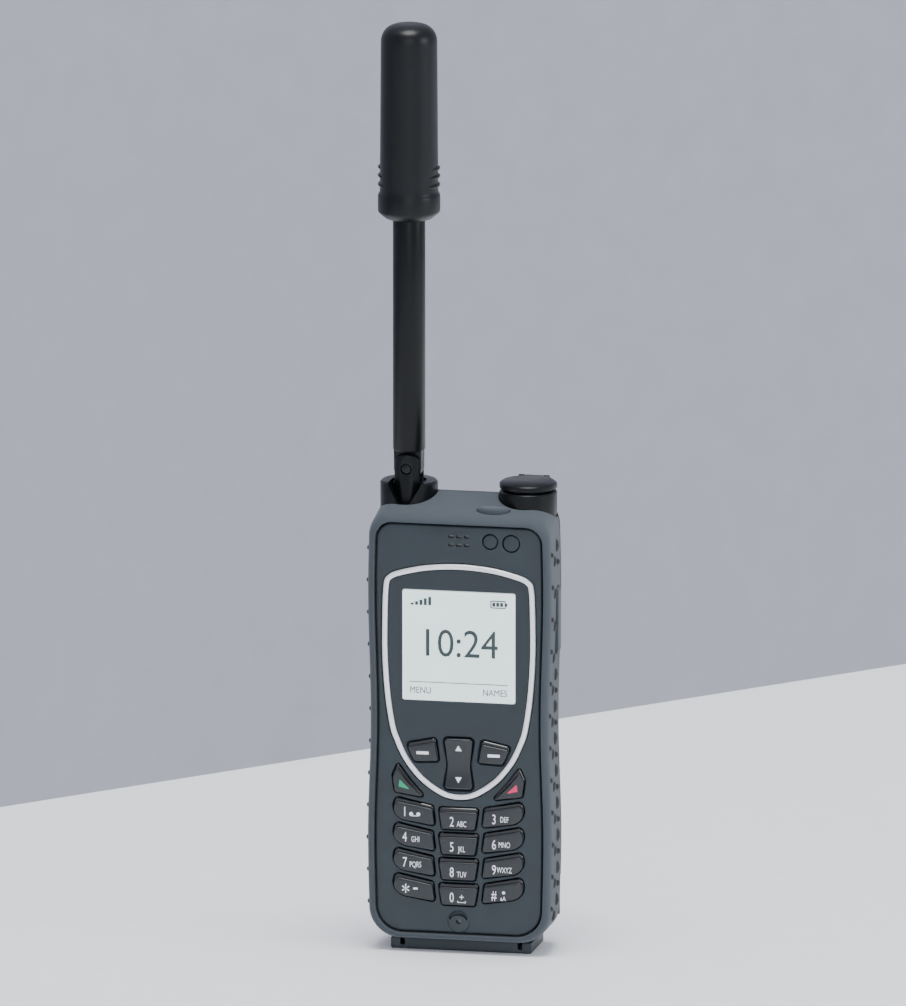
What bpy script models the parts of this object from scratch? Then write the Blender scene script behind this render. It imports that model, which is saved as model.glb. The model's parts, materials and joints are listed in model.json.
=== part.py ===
"""Satellite phone with a telescoping, tilting antenna, as an assembly of separate pieces.

Lengths are in millimetres until `piece` scales each mesh to metres. The origin is at the centre of
the base's bottom face. The front looks along -Y, +X is the user's right and +Z is up.
"""

from math import atan2, cos, pi, radians, sin, tan, tau

import bmesh
import bpy
from mathutils import Matrix, Vector

MM = 0.001

# Overall sizes
BODY_WIDTH = 57.0
BODY_HEIGHT = 140.0
BODY_DEPTH = 27.0
FOOT_HEIGHT = 3.8

# Clearances
GAP = 0.3
KEY_GAP = 0.2
SLIDE_GAP = 0.35

# Plan of the sides: (height, how far the side lies inside the widest point)
SIDE_INSETS = ((4.0, 0.5), (35.0, 0.0), (72.0, 0.9), (112.0, 0.1), (140.0, 0.6))
SIDE_STEPS = 8
BODY_CORNER = 9.5
BAND_FRONT = 2.6
BAND_SIDE = 1.6

# Layers through the depth
RIM_Y = -BODY_DEPTH / 2
FACE_Y = RIM_Y + 1.0
PLATE = 1.8
WALL = 1.4
SPLIT_Y = FACE_Y + 7.7
SEAL = 0.7
BAND_BACK_Y = FACE_Y + 14.8
BATTERY_COVER = 3.7
BACK_Y = BODY_DEPTH / 2 - BATTERY_COVER - GAP
BACK_SKIN = 1.2

# Face, inside the rubber rim
FACE_BOTTOM = 6.2
FACE_TOP_DROP = 7.6
FACE_TOP = BODY_HEIGHT - FACE_TOP_DROP
FACE_LOW_CORNER = 8.0
FACE_HIGH_CORNER = 5.0
TOP_FALL = 5.2

# Display
TRIM_WIDTH = 1.8
TRIM_PROUD = 0.5
TRIM_DEPTH = 0.9
TRIM_BOTTOM = 48.5
TRIM_TOP = 119.7
TRIM_SIDE = (
    (4.9, 48.95),
    (9.5, 52.3),
    (12.6, 55.0),
    (16.4, 60.0),
    (18.9, 65.2),
    (20.5, 70.0),
    (22.0, 80.0),
    (22.8, 92.0),
    (22.8, 104.0),
    (22.4, 113.2),
    (21.3, 115.7),
    (18.0, 117.2),
    (10.0, 119.0),
)
SCREEN_HALF = 17.4
SCREEN_LOW = 78.05
SCREEN_HIGH = 112.1
LENS_THICK = 0.8
LCD_BORDER = 3.8
LCD_THICK = 3.0

# Keys
KEY_PROUD = 0.9
KEY_TRAVEL = 0.5
KEY_FLANGE = 0.25
KEY_BACK = 2.7
KEY_PITCH = 7.83
KEY_HEIGHT = 6.6
TOP_ROW = 45.1
MIDDLE_TOP_HALF = 6.1
MIDDLE_BOTTOM_HALF = 5.1
OUTER_ROW_TOP = 47.5
MAT_THICK = 1.0
ROCKER_LOW = 50.9
ROCKER_HIGH = 66.7
ROCKER_WAIST = 58.5

# Board and what is on it
BOARD_Y = FACE_Y + 5.6
BOARD_THICK = 1.0

# Screws, as (x, z)
SCREW_X = 9.0
SCREW_LOW = 11.5
SCREW_BELOW_TOP = 20.0
SCREW_R = 1.0
SCREW_HEAD_R = 1.9
SCREW_HEAD = 1.0
BOSS_R = 2.4

# Antenna
MAST_X = -18.4
MAST_Y = 2.1
MAST_R = 4.93
TOWER_R = 8.75
TOWER_TOP = BODY_HEIGHT + 3.0
GUIDE_WALL = 0.55
GUIDE_LOW = 36.0
PIVOT_RISE = 4.0
PIVOT_Z = TOWER_TOP + PIVOT_RISE
KNUCKLE_R = 4.2
TONGUE_HALF = 2.5
SHOULDER = 5.2
CARRIAGE_LENGTH = 24.4
HEAD_LOW = BODY_HEIGHT + 83.7
HEAD_HEIGHT = 59.8
HEAD_COLLAR_R = 9.45
HEAD_R = 8.85
SPIGOT_R = 3.5
PIN_R = 1.4

# Emergency button tower
SOS_X = 18.4
SOS_BORE_R = 6.0
SOS_CAP = 2.4
SOS_PIN_R = 0.6
KNUCKLE = 1.3

# Battery
BATTERY_HALF = 22.5
BATTERY_LOW = 16.0
BATTERY_HIGH = 99.5
CELL_LEFT = -10.5
CELL_RIGHT = 21.5
CELL_LOW = 28.0
CELL_HIGH = 96.0
BAY_WALL = 1.2
BAY_GAP = 0.4

# Side and top controls
VOLUME_Z = 103.5
VOLUME_LENGTH = 17.0
SIDE_KEY_Z = 102.5
SIDE_KEY_LENGTH = 20.2
SIDE_KEY_FLOOR = 0.45
POWER_X = 9.8
POWER_Y = 5.5
POWER_HALF_X = 4.9
POWER_HALF_Y = 2.1
PORT_LOW = 10.0
PORT_HIGH = 22.0
JACK_R = 1.7

# Base
FOOT_HALF = 17.5
LUG_INNER = 18.8
LUG_OUTER = 21.8
FOOT_HALF_DEPTH = 9.0
FOOT_BAR = 1.2

NEUTRAL = {
    "rubber": ((0.035, 0.045, 0.055), 0.75, 0.0),
    "housing": ((0.045, 0.06, 0.075), 0.55, 0.0),
    "key": ((0.012, 0.014, 0.018), 0.25, 0.0),
    "chrome": ((0.72, 0.74, 0.76), 0.2, 1.0),
    "glass": ((0.72, 0.88, 0.86), 0.08, 0.0),
    "mast": ((0.012, 0.013, 0.016), 0.32, 0.0),
    "board": ((0.02, 0.16, 0.07), 0.5, 0.0),
    "steel": ((0.55, 0.56, 0.58), 0.3, 1.0),
    "gold": ((0.8, 0.6, 0.25), 0.25, 1.0),
    "card": ((0.75, 0.76, 0.78), 0.45, 0.0),
    "red": ((0.6, 0.03, 0.03), 0.4, 0.0),
}


# Outlines


def side_half(z):
    """Half of the body's width at a height."""
    stations = SIDE_INSETS
    inset = stations[0][1] if z < stations[0][0] else stations[-1][1]
    for (low, first), (high, second) in zip(stations, stations[1:]):
        if low <= z <= high:
            share = (1 - cos(pi * (z - low) / (high - low))) / 2
            inset = first + (second - first) * share
    return BODY_WIDTH / 2 - inset


def rounded(corners, steps=4):
    """The closed outline through corners (x, y, radius), each radius as an arc."""
    points = []
    for i, (x, y, radius) in enumerate(corners):
        here = Vector((x, y))
        if not radius:
            points.append(here)
            continue
        back = (Vector(corners[i - 1][:2]) - here).normalized()
        ahead = (Vector(corners[(i + 1) % len(corners)][:2]) - here).normalized()
        half = back.angle(ahead) / 2
        centre = here + (back + ahead).normalized() * radius / sin(half)
        start = here + back * radius / tan(half) - centre
        end = here + ahead * radius / tan(half) - centre
        first = atan2(start.y, start.x)
        sweep = (atan2(end.y, end.x) - first + pi) % tau - pi
        for step in range(steps + 1):
            angle = first + sweep * step / steps
            points.append(centre + Vector((cos(angle), sin(angle))) * radius)
    return points


def grown(outline, distance):
    """A counter-clockwise outline moved outwards by a distance, or inwards by a negative one."""
    moved = []
    for i, here in enumerate(outline):
        back = (here - outline[i - 1]).normalized()
        ahead = (outline[(i + 1) % len(outline)] - here).normalized()
        before = Vector((back.y, -back.x))
        after = Vector((ahead.y, -ahead.x))
        moved.append(here + (before + after) * distance / (1 + before.dot(after)))
    return moved


def body_outline(shrink, bottom, top, low_corner, high_corner):
    """The body's outline from the front, moved in at the sides only."""
    low = bottom + low_corner + 1
    high = top - high_corner - 1
    heights = [low + (high - low) * i / (SIDE_STEPS - 1) for i in range(SIDE_STEPS)]
    right = [(side_half(bottom) - shrink, bottom, low_corner)]
    right += [(side_half(z) - shrink, z, 0) for z in heights]
    right.append((side_half(top) - shrink, top, high_corner))
    left = [(-x, z, radius) for x, z, radius in reversed(right)]
    return rounded(right + left)


def case_outline(shrink):
    return body_outline(
        shrink, FOOT_HEIGHT + shrink, BODY_HEIGHT - shrink, BODY_CORNER - shrink / 2, BODY_CORNER - shrink / 2
    )


def face_outline(inset=0.0):
    outline = body_outline(BAND_FRONT, FACE_BOTTOM, FACE_TOP, FACE_LOW_CORNER, FACE_HIGH_CORNER)
    return grown(outline, -inset)


def neck_outline(inset=0.0):
    outline = body_outline(BAND_SIDE, FACE_BOTTOM, FACE_TOP, FACE_LOW_CORNER, FACE_HIGH_CORNER)
    return grown(outline, -inset)


def trim_outline(offset):
    """The display surround's centre line, moved out or in."""
    right = [Vector((x, z)) for x, z in TRIM_SIDE]
    left = [Vector((-x, z)) for x, z in reversed(TRIM_SIDE)]
    ring = [Vector((0, TRIM_BOTTOM)), *right, Vector((0, TRIM_TOP)), *left]
    return grown(ring, offset)


def box_outline(x0, x1, z0, z1, radius=0.0):
    return rounded([(x0, z0, radius), (x1, z0, radius), (x1, z1, radius), (x0, z1, radius)])


def ellipse(x, y, half_x, half_y, steps=20):
    angles = [tau * i / steps for i in range(steps)]
    return [Vector((x + half_x * cos(a), y + half_y * sin(a))) for a in angles]


# Solids


def face_out(bm):
    """Turns every face outwards."""
    bmesh.ops.recalc_face_normals(bm, faces=bm.faces)
    if bm.calc_volume(signed=True) < 0:
        bmesh.ops.reverse_faces(bm, faces=bm.faces)
    return bm


def stack(sections, axis="Y"):
    """A closed body through outlines with equal point counts, given as (level, outline)."""
    place = {
        "X": lambda p, level: (level, p.x, p.y),
        "Y": lambda p, level: (p.x, level, p.y),
        "Z": lambda p, level: (p.x, p.y, level),
    }[axis]
    bm = bmesh.new()
    rings = []
    for level, outline in sections:
        verts = [bm.verts.new(place(point, level)) for point in outline]
        edges = [bm.edges.new((a, b)) for a, b in zip(verts, verts[1:] + verts[:1])]
        rings.append((verts, edges))
    for (_, lower), (_, upper) in zip(rings, rings[1:]):
        bmesh.ops.bridge_loops(bm, edges=lower + upper)
    bm.faces.new(rings[0][0])
    bm.faces.new(rings[-1][0])
    return face_out(bm)


def prism(outline, low, high, axis="Y"):
    return stack([(low, outline), (high, outline)], axis)


def block(x0, x1, y0, y1, z0, z1, radius=0.0):
    return prism(box_outline(x0, x1, z0, z1, radius), y0, y1)


def turned(profile, x, y, z=0.0, axis="Z", steps=24, closed=False):
    """A profile of (radius, height) turned about an axis through (x, y, z)."""
    bm = bmesh.new()
    verts = [bm.verts.new((radius, 0, height)) for radius, height in profile]
    pairs = list(zip(verts, verts[1:])) + ([(verts[-1], verts[0])] if closed else [])
    edges = [bm.edges.new(pair) for pair in pairs]
    bmesh.ops.spin(
        bm, geom=verts + edges, cent=(0, 0, 0), axis=(0, 0, 1), angle=tau, steps=steps, use_merge=True
    )
    bmesh.ops.remove_doubles(bm, verts=bm.verts, dist=1e-4)
    turns = {"X": Matrix.Rotation(pi / 2, 4, "Y"), "Y": Matrix.Rotation(-pi / 2, 4, "X"), "Z": Matrix()}
    bmesh.ops.transform(bm, matrix=Matrix.Translation((x, y, z)) @ turns[axis], verts=bm.verts)
    return face_out(bm)


def rod(radius, low, high, x, y, z=0.0, axis="Z", steps=20):
    return turned([(0, low), (radius, low), (radius, high), (0, high)], x, y, z, axis, steps)


def together(*parts):
    """Several separate shells as one bmesh."""
    whole = bmesh.new()
    for part in parts:
        mesh = bpy.data.meshes.new("part")
        part.to_mesh(mesh)
        part.free()
        whole.from_mesh(mesh)
        bpy.data.meshes.remove(mesh)
    return whole


# Objects


def material(kind):
    found = bpy.data.materials.get(kind)
    if found:
        return found
    colour, roughness, metallic = NEUTRAL[kind]
    made = bpy.data.materials.new(kind)
    made.use_nodes = True
    shader = made.node_tree.nodes["Principled BSDF"]
    shader.inputs["Base Color"].default_value = (*colour, 1)
    shader.inputs["Roughness"].default_value = roughness
    shader.inputs["Metallic"].default_value = metallic
    made.diffuse_color = (*colour, 1)
    return made


def piece(name, bm, kind, pivot=(0, 0, 0)):
    """An object from a bmesh in millimetres, with its origin at the pivot."""
    bmesh.ops.translate(bm, verts=bm.verts, vec=-Vector(pivot))
    bmesh.ops.scale(bm, verts=bm.verts, vec=(MM, MM, MM))
    mesh = bpy.data.meshes.new(name)
    bm.to_mesh(mesh)
    bm.free()
    mesh.materials.append(material(kind))
    mesh.shade_smooth()
    mesh.set_sharp_from_angle(angle=radians(35))
    made = bpy.data.objects.new(name, mesh)
    made.location = Vector(pivot) * MM
    bpy.context.collection.objects.link(made)
    return made


def combine(target, operation, *parts):
    """Cuts, joins or intersects a piece with hidden helper shapes."""
    helper = piece(f"{target.name}_{operation.lower()}_{len(target.modifiers)}", together(*parts), "steel")
    helper.hide_render = True
    helper.display_type = "WIRE"
    modifier = target.modifiers.new(operation.title(), "BOOLEAN")
    modifier.operation = operation
    modifier.object = helper
    return helper


def cut(target, *parts):
    return combine(target, "DIFFERENCE", *parts)


def join(target, *parts):
    return combine(target, "UNION", *parts)


# Keys, as outlines in (x, z)


def middle_key(row):
    top = TOP_ROW - KEY_PITCH * row
    low = top - KEY_HEIGHT
    return rounded(
        [
            (-MIDDLE_BOTTOM_HALF, low, 1.0),
            (MIDDLE_BOTTOM_HALF, low, 0.9),
            (MIDDLE_TOP_HALF, top, 1.2),
            (-MIDDLE_TOP_HALF, top, 1.1),
        ],
        2,
    )


def outer_key(row, side):
    """A leaf-shaped key of the outer columns. Its outer end is the wider and rounder one."""
    drop = KEY_PITCH * row
    corners = [
        (7.3, OUTER_ROW_TOP - 8.1 - drop, 0.8),
        (18.4, OUTER_ROW_TOP - 6.3 - drop, 1.8),
        (20.6, OUTER_ROW_TOP - 2.6 - drop, 1.6),
        (19.2, OUTER_ROW_TOP + 0.2 - drop, 0.9),
        (8.0, OUTER_ROW_TOP - 2.1 - drop, 0.8),
    ]
    return mirrored(corners, side, 2)


def soft_key(side):
    corners = [(6.2, 59.5, 0.6), (13.6, 59.1, 1.2), (15.9, 64.6, 0.8), (7.2, 66.4, 0.8)]
    return mirrored(corners, side, 2)


def handset_key(side):
    corners = [
        (10.4, 48.0, 0.5),
        (19.7, 49.5, 0.8),
        (20.4, 54.6, 0.8),
        (18.8, 58.3, 0.4),
        (15.2, 53.4, 0),
    ]
    return mirrored(corners, side, 2)


def mirrored(corners, side, steps):
    """The outline on the right, or its mirror image on the left, still counter-clockwise."""
    outline = rounded(corners, steps)
    return outline if side > 0 else [Vector((-p.x, p.y)) for p in reversed(outline)]


def rocker_outline():
    corners = [
        (-4.5, ROCKER_LOW, 1.2),
        (4.5, ROCKER_LOW, 1.2),
        (3.4, ROCKER_WAIST, 0),
        (4.6, ROCKER_HIGH, 1.2),
        (-4.6, ROCKER_HIGH, 1.2),
        (-3.4, ROCKER_WAIST, 0),
    ]
    return rounded(corners, 2)


def key_outlines():
    """Every key of the face by name, with its outline."""
    rows = (("1", "2", "3"), ("4", "5", "6"), ("7", "8", "9"), ("star", "0", "hash"))
    keys = {}
    for row, (left, middle, right) in enumerate(rows):
        keys[f"key_{left}"] = outer_key(row, -1)
        keys[f"key_{middle}"] = middle_key(row)
        keys[f"key_{right}"] = outer_key(row, 1)
    keys["soft_key_left"] = soft_key(-1)
    keys["soft_key_right"] = soft_key(1)
    keys["call_key"] = handset_key(-1)
    keys["end_key"] = handset_key(1)
    return keys


def make_key(name, outline):
    """A cap through the face plate, with a flange behind it that keeps it in."""
    front = FACE_Y - KEY_PROUD
    flange = FACE_Y + PLATE + GAP
    back = FACE_Y + KEY_BACK
    centre = sum(outline, Vector((0, 0))) / len(outline)
    wide = grown(outline, KEY_GAP + KEY_FLANGE)
    sections = [(front, outline), (flange, outline), (flange + 0.3, wide), (back, wide)]
    piece(name, stack(sections), "key", pivot=(centre.x, back, centre.y))


def make_keys():
    for name, outline in key_outlines().items():
        make_key(name, outline)
    outline = rocker_outline()
    front = FACE_Y - KEY_PROUD
    back = FACE_Y + KEY_BACK - 0.2
    sections = [(front, grown(outline, -0.35)), (front + 0.35, outline), (back, outline)]
    piece("nav_rocker", stack(sections), "key", pivot=(0, back, ROCKER_WAIST))


# Case


def lens_outline():
    return box_outline(-SCREEN_HALF, SCREEN_HALF, SCREEN_LOW, SCREEN_HIGH, 1.0)


def screw_places():
    high = BODY_HEIGHT - SCREW_BELOW_TOP
    return ((-SCREW_X, SCREW_LOW), (SCREW_X, SCREW_LOW), (-SCREW_X, high), (SCREW_X, high))


LIGHTS = (("status_light_lens", 9.7, 4.5, 2.2), ("light_sensor_lens", 16.2, 4.8, 2.5))
EAR_SLOTS = [(x, drop) for x in (-2.4, 0.0, 2.4) for drop in (3.4, 6.0)]
MIC_Z = 9.9


def make_front_housing():
    """The face plate and its side walls, open at the back."""
    outer = face_outline()
    sections = [(FACE_Y, face_outline(0.4)), (FACE_Y + 0.4, outer), (SPLIT_Y - SEAL - GAP, outer)]
    front = piece("front_housing", stack(sections), "housing")
    cut(front, prism(face_outline(WALL), FACE_Y + PLATE, SPLIT_Y + 1))
    bosses = [
        rod(BOSS_R, FACE_Y + PLATE - 0.4, SPLIT_Y - SEAL - GAP, x, 0, z, "Y", 12) for x, z in screw_places()
    ]
    join(front, *bosses, rod(3.4, FACE_Y - 0.4, FACE_Y + 1, 0, 0, MIC_Z, "Y", 24))
    out = RIM_Y - 1
    through = FACE_Y + PLATE + 0.5
    openings = [prism(grown(outline, KEY_GAP), out, through) for outline in key_outlines().values()]
    openings.append(rod(0.75, out, through, 0, 0, MIC_Z, "Y", 10))
    openings += [rod(r + GAP, out, through, x, 0, FACE_TOP - drop, "Y") for _, x, drop, r in LIGHTS]
    for x, drop in EAR_SLOTS:
        z = FACE_TOP - drop
        openings.append(block(x - 0.8, x + 0.8, out, through, z - 0.45, z + 0.45))
    for x, z in screw_places():
        openings.append(rod(SCREW_R + GAP, FACE_Y + 4.0, SPLIT_Y + 1, x, 0, z, "Y", 12))
    cut(front, *openings)
    cut(front, prism(trim_outline(TRIM_WIDTH / 2 + GAP), out, FACE_Y + TRIM_DEPTH + GAP))
    window = grown(lens_outline(), 0.6)
    cut(front, prism(window, out, through), prism(grown(rocker_outline(), KEY_GAP), out, through))


def make_band():
    """The rubber band round the sides, with the rim at the front."""
    sections = [
        (RIM_Y, case_outline(1.4)),
        (RIM_Y + 1.1, case_outline(0.4)),
        (RIM_Y + 3.0, case_outline(0.0)),
        (BAND_BACK_Y, case_outline(0.0)),
    ]
    band = piece("grip_band", stack(sections), "rubber")
    step = SPLIT_Y - GAP
    cut(band, prism(grown(face_outline(), 0.4), RIM_Y - 1, step + 0.2))
    cut(band, prism(neck_outline(-GAP), step, BAND_BACK_Y + 1))
    slope = [
        Vector((RIM_Y - 1, BODY_HEIGHT - TOP_FALL)),
        Vector((BAND_BACK_Y + 1, BODY_HEIGHT)),
        Vector((BAND_BACK_Y + 1, BODY_HEIGHT + 5)),
        Vector((RIM_Y - 1, BODY_HEIGHT + 5)),
    ]
    cut(band, prism(slope, -BODY_WIDTH, BODY_WIDTH, "X"))
    top = BODY_HEIGHT + 5
    cut(band, *tower_seats())
    cut(band, mast_hole())
    seat = ellipse(POWER_X, RIM_Y + POWER_Y, POWER_HALF_X + GAP, POWER_HALF_Y + GAP)
    half = BODY_WIDTH / 2
    inside = half - BAND_FRONT - 1
    cut(
        band,
        prism(seat, FACE_TOP - 1, top, "Z"),
        block(-half - 2, -inside, *volume_depths(0.4), *span(VOLUME_Z, VOLUME_LENGTH + 1.2), 0.0),
        block(inside, half + 2, *side_key_depths(0.4), *span(SIDE_KEY_Z, SIDE_KEY_LENGTH + 0.8), 0.0),
    )


def tower_seats():
    return [rod(TOWER_R + GAP, FACE_TOP + GAP, BODY_HEIGHT + 5, x, MAST_Y) for x in (MAST_X, SOS_X)]


def mast_hole():
    return rod(MAST_R + SLIDE_GAP + 0.1, FACE_TOP - FACE_HIGH_CORNER, FACE_TOP + 2, MAST_X, MAST_Y)


def span(middle, length):
    return middle - length / 2, middle + length / 2


def volume_depths(extra=0.0):
    return SPLIT_Y - 0.4 - extra, BAND_BACK_Y - 2.6 + extra


def side_key_depths(extra=0.0):
    return SPLIT_Y + 0.8 - extra, BAND_BACK_Y - 2.0 + extra


def make_rear_housing():
    """The back shell: a neck inside the band, the full width behind it, and the battery's bay."""
    start = SPLIT_Y + GAP + 0.4
    shoulder = BAND_BACK_Y + GAP
    rise = (BACK_Y - shoulder) / 3
    sections = [
        (start, neck_outline()),
        (shoulder, neck_outline()),
        (shoulder, case_outline(0.0)),
        (shoulder + rise, case_outline(0.5)),
        (shoulder + 2 * rise, case_outline(1.6)),
        (BACK_Y, case_outline(4.0)),
    ]
    rear = piece("rear_housing", stack(sections), "housing")
    cavity = cut(rear, prism(neck_outline(WALL), start - 1, BACK_Y - BACK_SKIN))
    floor = battery_floor()
    reach = BAY_GAP + BAY_WALL
    bay = block(
        CELL_LEFT - reach, CELL_RIGHT + reach, floor - BAY_WALL, BACK_Y + 1, CELL_LOW - reach, CELL_HIGH + reach
    )
    bosses = [rod(BOSS_R, start - 2, BACK_Y, x, 0, z, "Y", 12) for x, z in screw_places()]
    cut(cavity, bay, *bosses)
    openings = [
        block(
            CELL_LEFT - BAY_GAP,
            CELL_RIGHT + BAY_GAP,
            floor,
            BACK_Y + 2,
            CELL_LOW - BAY_GAP,
            CELL_HIGH + BAY_GAP,
        )
    ]
    seat = BACK_Y - SCREW_HEAD - 2 * GAP
    for x, z in screw_places():
        openings.append(
            turned(
                [
                    (0, start - 2),
                    (SCREW_R + GAP, start - 2),
                    (SCREW_R + GAP, seat),
                    (SCREW_HEAD_R + GAP, seat),
                    (SCREW_HEAD_R + GAP, BACK_Y + 1),
                    (0, BACK_Y + 1),
                ],
                x,
                0,
                z,
                "Y",
                12,
            )
        )
    cut(rear, *openings)
    cut(rear, *tower_seats())
    cut(rear, mast_hole())
    cut(rear, prism(grown(port_cover_outline(), 0.45), PORT_LOW - 0.4, PORT_HIGH + 0.4, "Z"))
    cut(rear, rod(JACK_R, side_half(16) - BAND_FRONT - 4, BODY_WIDTH / 2 + 2, 0, port_y(), jack_z(), "X", 12))


def battery_floor():
    """The bottom of the battery's bay, clear of the antenna's guide in depth."""
    return BACK_Y - 7.9


def make_seal():
    level = SPLIT_Y - SEAL
    seal = piece("housing_seal", prism(face_outline(0.3), level, SPLIT_Y), "rubber")
    cut(seal, prism(face_outline(1.2), level - 1, SPLIT_Y + 1))


def make_screws():
    head = BACK_Y - SCREW_HEAD - GAP
    tip = FACE_Y + 4.6
    profile = [(0, tip), (SCREW_R, tip + 0.4), (SCREW_R, head), (SCREW_HEAD_R, head)]
    profile += [(SCREW_HEAD_R, head + SCREW_HEAD), (0, head + SCREW_HEAD)]
    for number, (x, z) in enumerate(screw_places(), 1):
        piece(f"housing_screw_{number}", turned(profile, x, 0, z, "Y", 10), "steel")


# Display


def make_display():
    top = FACE_Y - TRIM_PROUD
    foot = FACE_Y + TRIM_DEPTH
    half = TRIM_WIDTH / 2
    outer = trim_outline(half)
    sections = [(top, trim_outline(half - 0.35)), (top + 0.35, outer), (foot, outer)]
    trim = piece("display_trim", stack(sections), "chrome")
    cut(trim, prism(trim_outline(-half), top - 1, foot + 1))
    bezel = piece("display_bezel", prism(trim_outline(-half - GAP), FACE_Y - 0.1, foot), "key")
    out = FACE_Y - 2
    holes = [prism(grown(outline, KEY_GAP), out, foot + 1) for outline in (soft_key(-1), soft_key(1))]
    holes.append(prism(grown(rocker_outline(), KEY_GAP), out, foot + 1))
    cut(bezel, prism(grown(lens_outline(), GAP), out, foot + 1), *holes)
    piece("display_lens", prism(lens_outline(), FACE_Y, FACE_Y + LENS_THICK), "glass")
    back = FACE_Y + PLATE + GAP
    edge = grown(lens_outline(), LCD_BORDER)
    piece("lcd_module", prism(edge, back, back + LCD_THICK), "card")
    for name, x, drop, radius in LIGHTS:
        z = FACE_TOP - drop
        piece(name, rod(radius, FACE_Y - 0.2, FACE_Y + PLATE - 0.4, x, 0, z, "Y"), "key")


# Inside


def make_inside():
    half = side_half(72) - BAND_FRONT - WALL - 0.4
    low = FACE_BOTTOM + WALL + 0.8
    board_high = FACE_TOP - WALL - 2
    mat = FACE_Y + KEY_BACK + KEY_TRAVEL + GAP
    lcd_low = SCREEN_LOW - LCD_BORDER
    mat_low = MIC_Z + 4.5
    mat_high = min(ROCKER_HIGH + 3, lcd_low - GAP)
    piece("keypad_mat", block(-half, half, mat, mat + MAT_THICK, mat_low, mat_high, 2.0), "rubber")
    board = block(-half, half, BOARD_Y, BOARD_Y + BOARD_THICK, low, board_high, 4.0)
    board = piece("main_board", board, "board")
    cut(board, *[rod(BOSS_R + GAP, BOARD_Y - 1, BOARD_Y + 2, x, 0, z, "Y", 12) for x, z in screw_places()])
    behind = BOARD_Y + BOARD_THICK + GAP
    shield = piece("rf_shield", block(-9, 20, behind, behind + 2.2, 70, 110, 1.0), "steel")
    cut(shield, block(-8.6, 19.6, behind - 1, behind + 1.8, 70.4, 109.6, 0.8))
    piece("loudspeaker", rod(6.0, behind, behind + 3.6, -15, 0, 20, "Y"), "steel")
    ahead = FACE_Y + PLATE + GAP
    piece("microphone", rod(2.2, ahead, ahead + 2.2, 0, 0, MIC_Z, "Y", 12), "steel")
    ear_z = FACE_TOP - 4.7
    piece("earpiece", block(-6, 6, ahead, ahead + 2.2, ear_z - 2.8, ear_z + 2.8, 1.2), "steel")
    contact_z = FACE_TOP - 12
    piece(
        "antenna_contact",
        block(MAST_X - 2.5, MAST_X + 2.5, behind, behind + 1.2, contact_z, contact_z + 6),
        "gold",
    )


# Antenna


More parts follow.
